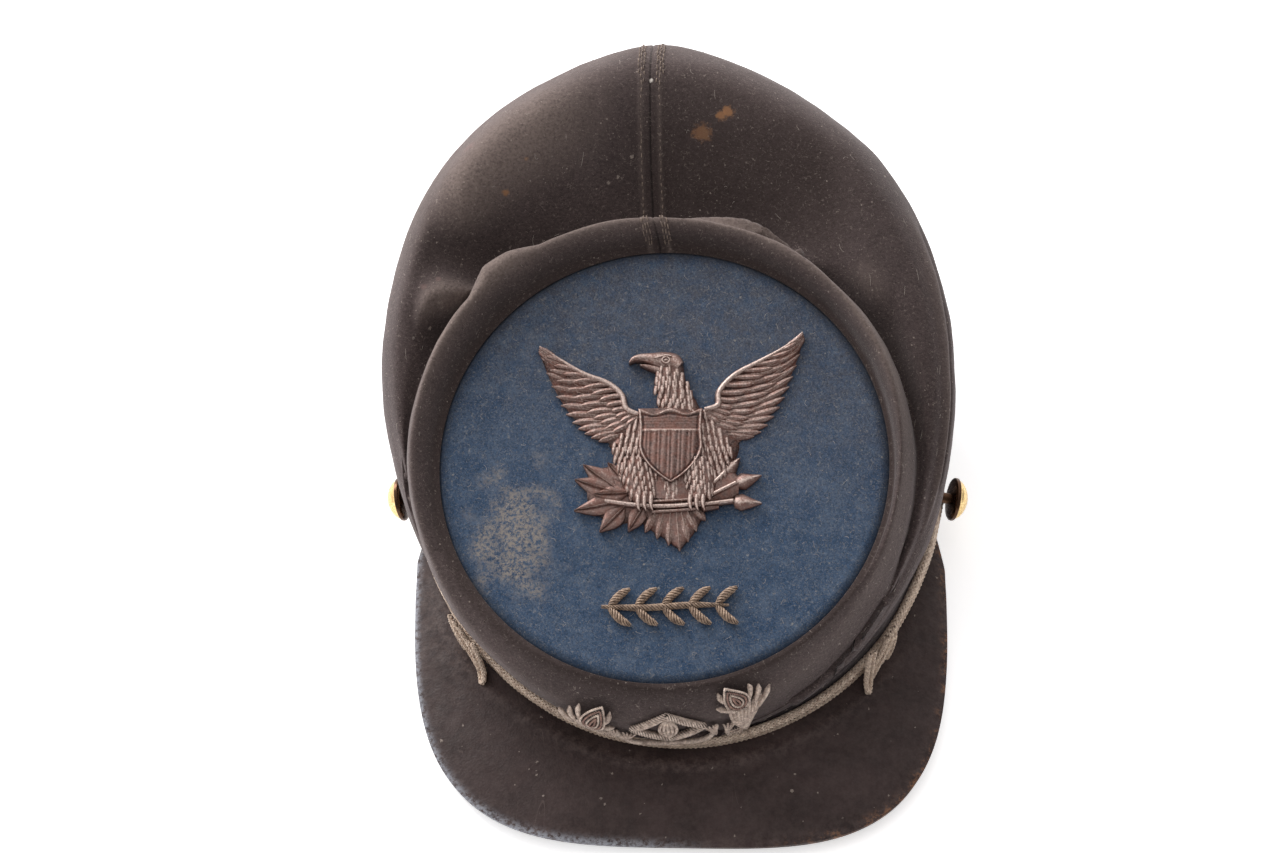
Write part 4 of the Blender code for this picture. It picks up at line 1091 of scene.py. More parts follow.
def add_strip(mesh, place, middle, half_width, low, high, profile, shine=1.0):
    """A solid along a middle line of (x, y). The profile is rows of (across, share of the height)."""
    middle = np.asarray(middle, float)
    run = np.gradient(middle, axis=0)
    run /= np.linalg.norm(run, axis=1, keepdims=True) + 1e-9
    side = np.stack((run[:, 1], -run[:, 0]), axis=1) * np.broadcast_to(half_width, len(middle))[:, None]
    across, share = np.asarray(profile, float).T
    flat = middle[:, None] + side[:, None] * across[:, None]
    low, high = (np.broadcast_to(value, len(middle))[:, None] for value in (low, high))
    lift = low + (high - low) * share
    add_solid(mesh, place(flat[..., 0], flat[..., 1], lift), np.broadcast_to(share * shine, lift.shape))


FEATHER = (
    (-1, 0), (-0.9, 0.42), (-0.55, 0.72), (-0.16, 0.74), (0, 1), (0.16, 0.74), (0.55, 0.72), (0.9, 0.42),
    (1, 0)
)
ROD = (
    (-1, 0), (-0.94, 0.45), (-0.7, 0.8), (-0.35, 0.97), (0, 1), (0.35, 0.97), (0.7, 0.8), (0.94, 0.45), (1, 0)
)
LEAF = (
    (-1, 0), (-0.92, 0.5), (-0.5, 0.66), (-0.12, 0.5), (0, 1), (0.12, 0.5), (0.5, 0.66), (0.92, 0.5), (1, 0)
)
BLADE = ((-1, 0), (-0.95, 0.3), (0, 1), (0.95, 0.3), (1, 0))
SMALL_FEATHER = ((-1, 0), (-0.8, 0.6), (0, 1), (0.8, 0.6), (1, 0))


def add_feather(mesh, start, end, half_width, low, high, bend=0.0, rows=8, profile=FEATHER, place=None):
    """A feather with a round tip, whose tip stands higher than its root."""
    part = np.linspace(0, 1, rows)
    start, end = np.asarray(start, float), np.asarray(end, float)
    run = end - start
    normal = np.array((-run[1], run[0]))
    middle = start + run * part[:, None] + normal * (bend * np.sin(math.pi * part))[:, None]
    tip = np.sqrt(np.clip(1 - np.clip((part - 0.6) / 0.4, 0, 1) ** 2, 0.012, 1))
    top = low + (high - low) * (0.7 + 0.3 * part) * (0.45 + 0.55 * tip)
    add_strip(mesh, place or on_badge, middle, half_width * tip, low, top, profile)


def curve_through(points, count):
    return smooth_rows(points, np.linspace(0, len(points) - 1, count))


print("badge middle, mm:", (on_badge(0, 0, 0) + HEAD_CENTRE).round(1))

# %% Wings
WINGS = {
    "left": {
        "leading": (
            (-9.5, 8.4), (-13.4, 10.4), (-14.8, 15.0), (-19.3, 18.9), (-26.5, 21.9), (-34.0, 26.6),
            (-40.3, 30.9)
        ),
        "trailing": (
            (-16.0, -4.0), (-19.8, -1.0), (-24.8, 1.6), (-29.3, 5.3), (-33.4, 11.4), (-36.8, 18.7),
            (-40.6, 29.6)
        ),
    },
    "right": {
        "leading": (
            (11.0, 9.8), (15.2, 11.4), (15.6, 15.8), (20.4, 21.2), (27.9, 25.4), (35.9, 30.0), (41.8, 35.0)
        ),
        "trailing": (
            (18.5, -4.5), (24.0, 0.0), (29.1, 3.4), (33.6, 9.6), (37.2, 17.0), (40.0, 25.0), (42.4, 33.6)
        ),
    },
}
WING_TIERS = (
    # count, first root along the wing, last root, reach along it, root across, tip across, half width, low, high
    (15, -0.16, 0.86, 0.40, 0.34, 1.0, 1.5, 0.35, 1.9),
    (13, -0.10, 0.84, 0.27, 0.12, 0.68, 1.3, 1.0, 2.3),
    (13, -0.06, 0.88, 0.13, 0.02, 0.36, 1.1, 1.5, 2.7),
)
WING_LENGTH_POINTS = 6


def on_wing(wing, along, across):
    """A place between the wing's leading edge (across 0) and trailing edge (across 1)."""
    along = np.clip(along, 0.0, 1.0) * WING_LENGTH_POINTS
    leading, trailing = smooth_rows(wing["leading"], along), smooth_rows(wing["trailing"], along)
    return leading * (1 - across) + trailing * across


eagle = bmesh.new()
for wing in WINGS.values():
    edge_count = 22
    along = np.linspace(0, 1, edge_count)
    middle = np.array([on_wing(wing, part, 0.5) for part in along])
    half = np.array(
        [np.linalg.norm(on_wing(wing, part, 0.94) - on_wing(wing, part, 0.06)) / 2 for part in along]
    )
    sections = []
    for part in along:
        cut = [on_wing(wing, part, across) for across in (0.04, 0.35, 0.65, 0.92)]
        lifts = (1.3, 1.6, 1.3, 0.8)
        top = [on_badge(*place, lift) for place, lift in zip(cut, lifts)]
        bottom = [on_badge(*place, 0.1) for place in (cut[3], cut[0])]
        sections.append(top + bottom)
    add_solid(eagle, np.array(sections), np.full((edge_count, 6), 0.15))
    for count, first, last, reach, root, tip, half_width, low, high in WING_TIERS:
        for index, along in enumerate(np.linspace(first, last, count)):
            start, end = on_wing(wing, max(along, 0), root), on_wing(wing, along + reach, tip)
            if along < 0:
                start = start + (on_wing(wing, 0, root) - on_wing(wing, 0.12, root)) * (-along / 0.12) * 0.5
            shrink = 1 - 0.35 * max(along, 0)
            add_feather(
                eagle, start, end, half_width * shrink, low + 0.012 * index, high + 0.012 * index, -0.04
            )
    ridge = curve_through(wing["leading"], 26)
    thickness = np.interp(np.linspace(0, 1, 26), (0, 0.15, 0.6, 1), (0.9, 1.15, 1.0, 0.35))
    add_strip(eagle, on_badge, ridge, thickness, 0.2, np.linspace(3.3, 2.2, 26), ROD)
print("eagle faces after the wings:", len(eagle.faces))

# %% Breast, neck, thighs and tail, each a domed base under rows of small feathers
BASES = {
    # name: height, rows of (x, y, half_width)
    "breast": (
        2.5, (
            (1.2, 9.6, 9.5), (1.2, 5.0, 16.0), (1.6, 0.0, 20.2), (1.4, -5.0, 18.6), (0.6, -11.0, 13.5),
            (0.0, -19.0, 10.0)
        ),
    ),
    "tail": (1.9, ((0.0, -18.0, 12.0), (1.4, -24.0, 10.0), (2.4, -29.0, 6.0), (3.0, -34.4, 0.6))),
    "neck": (
        2.9,
        (
            (2.6, 6.5, 8.6), (2.6, 11.0, 6.6), (1.4, 15.5, 5.0), (0.6, 20.0, 4.5), (0.0, 24.4, 4.4),
            (-0.6, 27.4, 2.6)
        )
    ),
    "left_thigh": (3.6, ((-10.6, -6.5, 3.6), (-10.0, -11.0, 5.4), (-9.0, -16.0, 5.0), (-7.6, -20.5, 3.0))),
    "right_thigh": (3.6, ((8.4, -6.5, 3.6), (9.4, -11.0, 5.2), (9.8, -15.0, 4.6), (8.6, -19.5, 3.0))),
    "branch_web": (
        1.7,
        (
            (-25.5, -15.5, 3.4), (-21.5, -15.5, 7.4), (-15.0, -17.0, 9.6), (-9.0, -18.5, 7.0),
            (-5.0, -19.0, 3.0)
        )
    ),
    "arrow_web": (1.7, ((8.0, -14.0, 5.6), (13.0, -14.2, 6.2), (18.0, -14.4, 5.6), (21.4, -14.6, 3.2))),
}
BASE_LOW = 0.1

for high, rows in BASES.values():
    rows = curve_through(rows, 18)
    add_strip(eagle, on_badge, rows[:, :2], rows[:, 2], BASE_LOW, high, ROD, 0.5)

SMALL_FEATHERS = {
    # name: highest y, lowest y, rows, middle x at top and bottom, half widths at top and bottom, low, high
    "breast": (8.6, -11.0, 14, (1.2, 0.8), (9.4, 17.6), 2.0, 3.1),
    "belly": (-13.0, -18.0, 4, (0.2, 0.6), (3.6, 3.6), 2.0, 2.9),
    "neck": (23.6, 10.5, 10, (-0.3, 2.6), (2.2, 4.7), 2.6, 3.6),
    "left_thigh": (-7.0, -18.0, 8, (-10.6, -8.4), (3.4, 3.4), 3.2, 4.2),
    "right_thigh": (-7.0, -17.5, 8, (8.6, 9.6), (3.4, 3.2), 3.2, 4.2),
}
FEATHER_ROOM = 1.65
FEATHER_LENGTH = 3.5
picks = random.Random(61)
for high_y, low_y, rows, middles, halves, low, high in SMALL_FEATHERS.values():
    for row, y in enumerate(np.linspace(low_y, high_y, rows)):
        part = (high_y - y) / (high_y - low_y)
        middle, half = np.interp(part, (0, 1), middles), np.interp(
            part, (0, 0.55, 1), (halves[0], halves[1], halves[1] * 0.86)
        )
        count = max(2, round(2 * half / FEATHER_ROOM))
        for x in np.linspace(-half, half, count) + (row % 2) * FEATHER_ROOM / 2 - FEATHER_ROOM / 4:
            lean = 0.5 * x / half + picks.uniform(-0.25, 0.25)
            start = np.array((middle + x, y + 1.2))
            end = start + np.array((lean, -FEATHER_LENGTH + picks.uniform(-0.6, 0.6)))
            fall = 1 - 0.22 * (x / half) ** 2
            width = picks.uniform(0.65, 0.95)
            add_feather(
                eagle, start, end, width, low * fall, high * fall + 0.02 * row, rows=5, profile=SMALL_FEATHER
            )

TAIL_ROOT = (1.0, -18.5)
TAIL_TIPS = (
    (-11.4, -26.8), (-7.6, -29.2), (-4.0, -31.3), (-0.4, -33.4), (3.0, -35.3), (5.6, -32.4), (8.2, -29.0),
    (11.0, -25.6)
)
for index, tip in enumerate(TAIL_TIPS):
    root = np.array(TAIL_ROOT) + np.array(((tip[0] - 1) * 0.35, 0.0))
    add_feather(eagle, root, tip, 1.7, 0.3 + 0.02 * index, 2.7 + 0.05 * (index % 2))
for y in (-19.6, -21.2, -22.8):
    add_strip(eagle, on_badge, ((-5.5, y - 0.3), (1.0, y), (8.0, y + 0.5)), 0.55, 1.5, 3.2, ROD, 0.8)
print("eagle faces after the body:", len(eagle.faces))

# %% Head, shield, branch and arrows
HEAD_ROWS = (
    (3.4, 24.0, 2.0), (1.5, 25.3, 3.2), (-2.2, 26.0, 3.1), (-5.6, 26.6, 2.1), (-8.6, 26.9, 1.5),
    (-11.0, 26.4, 1.0), (-12.3, 25.0, 0.3)
)
rows = curve_through(HEAD_ROWS, 22)
add_strip(eagle, on_badge, rows[:, :2], rows[:, 2], 0.2, 3.5, ROD, 0.8)
jaw = curve_through(((-2.0, 22.6, 1.4), (-5.0, 23.6, 1.1), (-7.4, 24.2, 0.7), (-9.0, 24.5, 0.2)), 10)
add_strip(eagle, on_badge, jaw[:, :2], jaw[:, 2], 0.3, 2.8, ROD, 0.8)
EYE = (-0.9, 25.6)
turn = np.linspace(0, 2 * math.pi, 15)
add_strip(
    eagle, on_badge, np.stack((EYE[0] + 1.15 * np.cos(turn), EYE[1] + 1.0 * np.sin(turn)), 1), 0.34, 2.6, 4.1,
    ROD
)
pupil = tuple((EYE[0] + across, EYE[1]) for across in (-0.45, -0.2, 0.2, 0.45))
add_strip(eagle, on_badge, pupil, (0.15, 0.45, 0.45, 0.15), 2.6, 4.1, ROD)
brow = ((0.9, 26.8), (-0.8, 27.2), (-2.8, 26.7), (-4.6, 26.2))
add_strip(
    eagle, on_badge, curve_through(brow, 9), (0.2, 0.4, 0.45, 0.45, 0.45, 0.4, 0.35, 0.25, 0.1), 2.6, 4.0, ROD
)

SHIELD_MIDDLE = (0.4, 2.0)
SHIELD_HALF_WIDTH = 10.0
SHIELD_TOP = 8.9
SHIELD_TIP = -14.2
SHIELD_LENGTH = 22
SHIELD_LINE_PITCH = 0.95
SHIELD_STRIPES = 13
SHIELD_SLANT = 1.2
SHIELD_BAND_FROM = 0.27  # the plain band fills this share of the shield's height
sections, reliefs = [], []
across = np.linspace(-1, 1, 8 * SHIELD_STRIPES + 1)
for down in np.linspace(0, 0.985, 60):
    half = SHIELD_HALF_WIDTH * (1 - 0.04 * math.sin(math.pi * down / 0.5) if down < 0.5 else 1)
    half *= (1 - ((down - 0.42) / 0.58) ** 2.1) if down > 0.42 else 1
    scallop = 0.9 * np.cos(2 * math.pi * across) * max(0.0, 1 - down / 0.12)
    y = SHIELD_TOP * (1 - down) + SHIELD_TIP * down + scallop
    x = SHIELD_MIDDLE[0] + half * across
    from_edge = np.minimum((1 - np.abs(across)) * half, down * SHIELD_LENGTH)
    border = hump(from_edge, 0.5, 0.35) - 0.9 * hump(from_edge, 1.25, 0.3)
    slanted = x - SHIELD_MIDDLE[0] + SHIELD_SLANT * down + 0.25 * np.sin(1.9 * x)
    stripes = np.cos(math.pi * SHIELD_STRIPES * slanted / SHIELD_HALF_WIDTH)
    lines = np.cos(2 * math.pi * down * SHIELD_LENGTH / SHIELD_LINE_PITCH)
    in_band = down < SHIELD_BAND_FROM
    bar = math.exp(-(((down - SHIELD_BAND_FROM) / 0.014) ** 2))
    inner = (0.18 + 0.14 * lines if in_band else 0.22 + 0.22 * stripes) * (from_edge > 1.5) * (1 - bar)
    shape = np.clip(0.2 + inner + 0.8 * np.clip(border, -0.3, 1) + 0.8 * bar * (from_edge > 0.9), 0, 1)
    dome = 3.6 + 0.5 * (1 - across**2)
    top = on_badge(x, y, dome + 0.42 * shape)
    low_edge = on_badge(x[[-1, 0]], y[[-1, 0]], 1.5)
    sections.append(np.concatenate((top, low_edge)))
    reliefs.append(np.concatenate((shape, (0.1, 0.1))))
add_solid(eagle, np.array(sections), np.array(reliefs))

BRANCH_LEAVES = (
    # root, tip, half_width
    ((-14.0, -13.0), (-19.0, -7.0), 2.8), ((-17.0, -15.0), (-26.6, -7.6), 3.2), (
        (-17.0, -16.5), (-29.2, -12.4), 3.3
    ),
    ((-15.0, -19.5), (-29.4, -22.4), 3.3), ((-14.0, -21.5), (-21.6, -29.2), 3.2), (
        (-8.0, -21.0), (-12.8, -29.2), 2.8
    ),
    ((-13.0, -17.0), (-23.4, -17.2), 2.8),
)
LEAF_WIDTHS = (0.25, 0.75, 1.0, 0.95, 0.72, 0.4, 0.06)
for index, (root, tip, half_width) in enumerate(BRANCH_LEAVES):
    middle = np.array(root) + np.linspace(0, 1, 7)[:, None] * (np.array(tip) - root)
    low = 0.3 + 0.12 * index
    add_strip(eagle, on_badge, middle, np.array(LEAF_WIDTHS) * half_width, low, low + 2.3, LEAF)
ARROWS = (
    ((8.0, -19.0), (17.0, -10.4), (21.8, -5.8)), ((8.0, -20.0), (20.4, -13.8), (28.4, -11.4)),
    ((8.0, -21.0), (19.6, -19.6), (28.4, -20.4))
)
ARROW_WIDTHS = (0.15, 0.75, 1.0, 0.55, 0.05)
for index, (root, base, tip) in enumerate(ARROWS):
    low = 0.3 + 0.25 * index
    add_strip(eagle, on_badge, (root, base), 0.8, low, low + 2.2, ROD)
    base, tip = np.array(base), np.array(tip)
    middle = base + np.array((0.0, 0.08, 0.3, 0.65, 1.0))[:, None] * (tip - base)
    add_strip(eagle, on_badge, middle, np.array(ARROW_WIDTHS) * 2.8, low, low + 1.7, BLADE)
    for side in (-1, 1):
        along = (base - root) / np.linalg.norm(base - np.array(root))
        vane = np.array(root) + along * 2.0 + side * np.array((-along[1], along[0])) * 1.3
        add_strip(eagle, on_badge, (vane, vane + along * 5.0), (1.0, 0.5), low, low + 2.0, FEATHER, 0.8)
BRANCH = ((-20.0, -19.6), (-12.0, -20.8), (-4.0, -21.4), (4.0, -21.2), (10.0, -20.2))
add_strip(eagle, on_badge, curve_through(BRANCH, 14), 0.8, 1.6, 3.6, ROD)
CLAW_STARTS = (-9.6, -7.6, -5.6, 6.4, 8.4, 10.4)
for x in CLAW_STARTS:
    claw = ((x, -18.2), (x - 0.2, -20.0), (x - 0.1, -21.8), (x + 0.4, -23.2))
    add_strip(
        eagle, on_badge, curve_through(claw, 8), (0.7, 0.85, 0.85, 0.8, 0.7, 0.55, 0.35, 0.1), 2.4, 4.6, ROD
    )

badge = finish_mesh("cast_eagle", eagle, cast_metal, 60)
dress(badge, "cast_metal", "eagle_badge")
print("eagle faces:", len(badge.data.polygons))

# %% [markdown]
# ## Metal thread
# The ornaments are embroidered with bullion, a cord of tarnished metal threads twisted round each other. A
# twisted cord is only a few helices round one path, so one function makes them all: it cuts the path into
# even steps, finds a sideways and an outward direction at each step, and turns every thread round them. The
# threads go into one curve object for each ornament, and its round bevel gives them their thickness.

# %% Thread materials
def thread_material(name, dark, light, roughness, metallic, nap_scale=2600.0):
    material, tree, shader = new_material(name)
    # A random soiled tone of the thread. No shade is painted here.
    soil = map_range(tree, noise_node(tree, 700.0, 4.0, 0.7), 0.34, 0.66)
    colour = mix_colour(tree, soil, dark, light)
    fuzz = use_group(tree, nap, Scale=nap_scale, Streak=1.0)
    colour = mix_colour(
        tree, 1.0, colour, map_range(tree, fuzz.outputs["Grain"], 0.0, 1.0, 0.74, 1.26), "MULTIPLY"
    )
    specks = use_group(tree, lint, Scale=1500.0, Share=0.05)
    colour = cover(tree, colour, LINT_COLOUR, specks.outputs["Mask"], 0.5)
    tree.links.new(colour, shader.inputs["Base Color"])
    shader.inputs["Roughness"].default_value = roughness
    shader.inputs["Metallic"].default_value = metallic
    bump(tree, shader, fuzz.outputs["Height"], 0.1, 0.6)
    return material


bullion = thread_material("tarnished_bullion", linear(112, 92, 80), linear(190, 164, 142), 0.5, 0.25)
pale_bullion = thread_material("pale_bullion", linear(160, 138, 126), linear(242, 224, 210), 0.5, 0.2)
cord_braid = thread_material("cord_braid", linear(178, 154, 138), linear(242, 222, 202), 0.7, 0.0)
# A dark core inside the braided cord, painted as the shade within the braid.
cord_painted_shade_core = thread_material("cord_painted_shade_core", linear(60, 48, 42), linear(80, 66, 58), 0.8, 0.0)
# A dark core under the bullion threads, painted as the shade in the gaps between them.
bullion_painted_shade_core = thread_material("bullion_painted_shade_core", linear(34, 26, 23), linear(52, 41, 36), 0.7, 0.0)
print("made", bullion.name, pale_bullion.name, cord_braid.name)


# %% Twisting and braiding
def even_steps(points, step, closed=False):
    """A path cut into equal steps."""
    points = np.asarray(points, float)
    if closed:
        points = np.concatenate((points, points[:1]))
    run = run_along(points)
    count = max(3, round(run[-1] / step) + 1)
    even = np.linspace(0, run[-1], count)
    cut = np.stack([np.interp(even, run, points[:, axis]) for axis in range(3)], axis=1)
    return (cut[:-1] if closed else cut), even[: len(cut) - closed], run[-1]


def directions(points, outward, closed=False):
    """The outward and sideways directions at right angles to a path."""
    if closed:
        along = np.roll(points, -1, axis=0) - np.roll(points, 1, axis=0)
    else:
        along = np.gradient(points, axis=0)
    along /= np.linalg.norm(along, axis=1, keepdims=True)
    side = np.cross(along, np.broadcast_to(outward, points.shape))
    side /= np.linalg.norm(side, axis=1, keepdims=True)
    return np.cross(side, along), side


def twisted(points, outward, radius, plies, pitch, taper=None, thickness=1.0):
    """The threads of a twisted cord along a path, as (points, radius)."""
    cut, run, length = even_steps(points, pitch / 8)
    out, side = directions(cut, outward)
    width = np.ones(len(cut)) if taper is None else np.interp(
        run / length, np.linspace(0, 1, len(taper)), taper
    )
    ply_radius = radius / (1 + 1 / math.sin(math.pi / plies)) * thickness if plies > 2 else radius * 0.5
    strands = []
    for ply in range(plies):
        turn = 2 * math.pi * (run / pitch + ply / plies)
        reach = ((radius - ply_radius) * width)[:, None]
        strands.append(
            (cut + reach * (out * np.cos(turn)[:, None] + side * np.sin(turn)[:, None]), ply_radius * width)
        )
    return strands


def braided(points, outward, radius, carriers, pitch, thread, closed=False):
    """The threads of a round braid: two sets that turn opposite ways, over two and under two."""
    cut, run, length = even_steps(points, pitch / 12, closed)
    if closed:
        pitch = length / round(length / pitch)
    out, side = directions(cut, outward if np.ndim(outward) == 1 else outward(cut), closed)
    crossing = 2 * carriers * run / pitch
    strands = []
    for way in (1, -1):
        for carrier in range(carriers):
            turn = way * 2 * math.pi * run / pitch + 2 * math.pi * carrier / carriers
            over = way * np.cos(math.pi / 2 * (crossing + way * 2 * carrier) + math.pi / 4)
            reach = (radius - thread * (1.0 - 0.35 * over))[:, None]
            strands.append(
                (cut + reach * (out * np.cos(turn)[:, None] + side * np.sin(turn)[:, None]), thread)
            )
    return strands


print("threads in a braid of six pairs:", len(braided(np.eye(3) * 9, (0, 0, 1.0), 1.4, 6, 9.0, 0.4)))

# %% Sprig on the felt: a stem and pairs of leaves, each one stroke of bullion
SPRIG_MIDDLE = (0.3, -45.6)
SPRIG_HALF_LENGTH = 20.5
SPRIG_LEAF_PAIRS = 5
SPRIG_LEAF_LENGTH = 8.6
SPRIG_LEAF_ANGLE = math.radians(42)
STROKE_RADIUS = 1.45
STROKE_PLIES = 5
STROKE_PITCH = 5.4
STROKE_THICKNESS = 0.72  # threads thinner than the room they have, so the dark core, a painted shade, shows between them
STROKE_TAPER = (0.5, 0.95, 1.0, 0.9, 0.35)
dark_painted_shade_cores = []


def stroke(place, points, outward, radius=STROKE_RADIUS, taper=STROKE_TAPER, lift=1.2):
    """One embroidered stroke through points (x, y), which lies on the cloth."""
    x, y = curve_through(points, 4 * len(points)).T
    path = place(x, y, np.full(len(x), lift))
    # A dark core under the stroke, painted as the shade between its threads.
    dark_painted_shade_cores.append(
        (path, 0.72 * radius * np.interp(np.linspace(0, 1, len(x)), np.linspace(0, 1, len(taper)), taper))
    )
    return twisted(path, outward, radius, STROKE_PLIES, STROKE_PITCH, taper, STROKE_THICKNESS)


def on_sprig(x, y, lift):
    return on_disc(SPRIG_MIDDLE[0] + x, SPRIG_MIDDLE[1] + y, lift)


STEM = ((-SPRIG_HALF_LENGTH, 0.3), (-7, -0.3), (7, 0.3), (SPRIG_HALF_LENGTH - 2, 0.0))
strands = stroke(on_sprig, STEM, DISC_OUT, 1.2)
for pair in range(SPRIG_LEAF_PAIRS):
    x = SPRIG_HALF_LENGTH * (2 * (pair + 0.3) / SPRIG_LEAF_PAIRS - 1)
    for side in (-1, 1):
        reach = SPRIG_LEAF_LENGTH * np.array((math.cos(SPRIG_LEAF_ANGLE), side * math.sin(SPRIG_LEAF_ANGLE)))
        middle = 0.5 * reach + np.array((0.0, side * 0.9))
        strands += stroke(
            on_sprig, ((x, side * 0.3), (x + middle[0], middle[1]), (x + reach[0], reach[1])), DISC_OUT
        )
sprig = thread_piece("sprig_bullion", strands, bullion)
dress(sprig, "bullion_thread", "disc_sprig")
# A dark core, painted as the shade between the sprig's threads.
sprig_painted_shade_core = thread_piece("sprig_painted_shade_core", dark_painted_shade_cores, bullion_painted_shade_core, 1)
dress(sprig_painted_shade_core, "bullion_thread")
print("threads in the sprig:", len(strands))

# %% [markdown]
# ## The front face
# Two flaming horns, a lozenge and a twisted scroll are sewn to the front of the roll. A horn is a bundle: its
# bell and its tongues are strips of thin bullion laid side by side, and a striped oval flame stands between
# them. Their places are measured across the front and up the cloth from the valley, so they follow its curve.

# %% A place on the front face
FRONT_MIDDLE = -1.8
FRONT_LIFT = 0.5
profile_stations = np.linspace(STATIONS["valley"], STATIONS["lip"], 81)
profile = crown_base(np.zeros(81), profile_stations)
profile_run = run_along(profile)


def front_address(across, rise):
    station = np.interp(rise, profile_run, profile_stations)
    section = smooth_rows(list(CROWN_SECTIONS.values()), station)
    half_width, shift, shear = section[..., 0], section[..., 7], section[..., 8]
    return (FRONT_MIDDLE + np.asarray(across) - shift - shear) / half_width, station


def on_front(across, rise, lift):
    angle, station = front_address(across, rise)
    return crown_point(angle, station, np.asarray(lift) + FRONT_LIFT)


def front_outward(across, rise):
    return crown_normal(*front_address(np.array(across), np.array(rise)))


print("the front face rises, mm:", round(float(profile_run[-1]), 1))

# %% Horns
# The right horn's own places, as (across, rise). The left one is its mirror image, whose foot has sunk into a
# crease.
HORN_FOOT = (22.8, 0.6)
# The body's rows are (across, rise, half width).
HORN_BODY = ((22.8, 0.6, 0.7), (22.6, 5.0, 2.4), (23.1, 10.0, 4.0), (23.8, 16.4, 5.2))
HORN_BODY_THREADS = 9
HORN_TONGUES = {
    # name: points, from its root to its tip
    "outer": ((27.4, 11.5), (30.2, 15.2), (31.8, 18.6)),
    "upper": ((26.4, 14.5), (28.0, 18.6), (28.2, 21.6)),
    "middle": ((24.8, 17.0), (25.5, 20.6), (25.0, 23.8)),
    "inner_upper": ((20.0, 17.5), (16.6, 20.2), (15.4, 24.0)),
    "inner_lower": ((20.4, 13.5), (17.2, 15.6), (14.6, 17.2)),
}
TONGUE_RADIUS = 0.9
FLAME_FOOT = (23.0, 14.6)
FLAME_TIP = (17.2, 26.6)
FLAME_HALF_WIDTH = 3.9
LEAF_FULLNESS = 2.5  # makes the widest place of a drop one half width wide
FLAME_RINGS = 4
FLAME_RING_STEP = 1.0
FINE_RADIUS = 0.42
LEFT_HORN_SHIFT = 2.2
LEFT_HORN_RISE = ((0.0, 0.3), (10.0, 3.6), (16.0, 8.6), (27.0, 20.8))  # (rise on the right, rise on the left)
flame_thread = thread_material("flame_thread", linear(122, 92, 84), linear(180, 146, 132), 0.6, 0.1)


def flame_ring(inset):
    """One of the nested drops that the flame is made of, as points (across, rise)."""
    foot, tip = np.array(FLAME_FOOT), np.array(FLAME_TIP)
    length = np.linalg.norm(tip - foot)
    along = (tip - foot) / length
    side = np.array((along[1], -along[0]))
    turn = np.linspace(0, 2 * math.pi, 33)
    part = (1 - np.cos(turn)) / 2
    up = inset + (length - 2.6 * inset) * part
    out = (FLAME_HALF_WIDTH - inset) * np.sign(np.sin(turn)) * LEAF_FULLNESS * np.sqrt(part) * (1 - part)
    return foot + up[:, None] * along + out[:, None] * side


def make_horn(name, way, node):
    """A horn that leans outwards, on the left (-1) or on the right (1)."""
    def place(points, lift):
        across, rise = np.asarray(points).T
        if way < 0:
            across, rise = across + LEFT_HORN_SHIFT, np.interp(rise, *np.array(LEFT_HORN_RISE).T)
        return on_front(way * across, rise, lift)

    outward = front_outward(way * HORN_FOOT[0], 12.0)
    strands, pink, painted_shade_cores = [], [], []
    body = curve_through(HORN_BODY, 16)
    for part in np.linspace(-1, 1, HORN_BODY_THREADS):
        points = body[:, :2] + np.outer(body[:, 2] * part, (1.0, 0.0))
        lift = 0.5 + 0.9 * math.sqrt(1 - 0.9 * part**2)
        path = place(points, np.full(len(points), lift))
        strands += twisted(path, outward, 0.66, 3, 1.9, (1, 1, 1, 1, 0.7), 0.8)
        # A dark core under each bundle of threads, painted as the shade between them.
        painted_shade_cores.append((path, 0.4))
    for points in HORN_TONGUES.values():
        points = curve_through(points, 10)
        path = place(points, np.linspace(1.5, 1.1, 10))
        strands += twisted(path, outward, TONGUE_RADIUS, 4, 2.6, (0.7, 0.85, 0.95, 1.1, 0.3), 0.8)
        painted_shade_cores.append((path[:-2], 0.55 * TONGUE_RADIUS))
    for ring in range(FLAME_RINGS):
        points = flame_ring(0.35 + ring * FLAME_RING_STEP)
        path = place(points, np.full(len(points), 2.3 + 0.16 * ring))
        (pink if ring % 2 else strands).extend(twisted(path, outward, FINE_RADIUS, 2, 1.5))
    # Dark strips under the flame, painted as the shade between its rings.
    for part in (-0.5, 0.0, 0.5):
        tip = np.array(FLAME_TIP) + (np.array(FLAME_FOOT) - FLAME_TIP) * 0.12
        middle = (np.array(FLAME_FOOT) + tip) / 2 + part * FLAME_HALF_WIDTH * np.array((0.9, 0.4))
        points = curve_through((FLAME_FOOT, middle, tip), 9)
        painted_shade_cores.append((place(points, np.full(9, 1.7)), 1.0))
    horn = thread_piece(name, strands, pale_bullion, 1)
    dress(horn, "bullion_thread", node)
    dress(thread_piece(name + "_flame", pink, flame_thread, 1), "bullion_thread")
    dress(thread_piece(name + "_core", painted_shade_cores, bullion_painted_shade_core, 1), "bullion_thread")
    print(name, "threads:", len(strands) + len(pink))


make_horn("horn_bullion_left", -1, "horn_left")
make_horn("horn_bullion_right", 1, "horn_right")

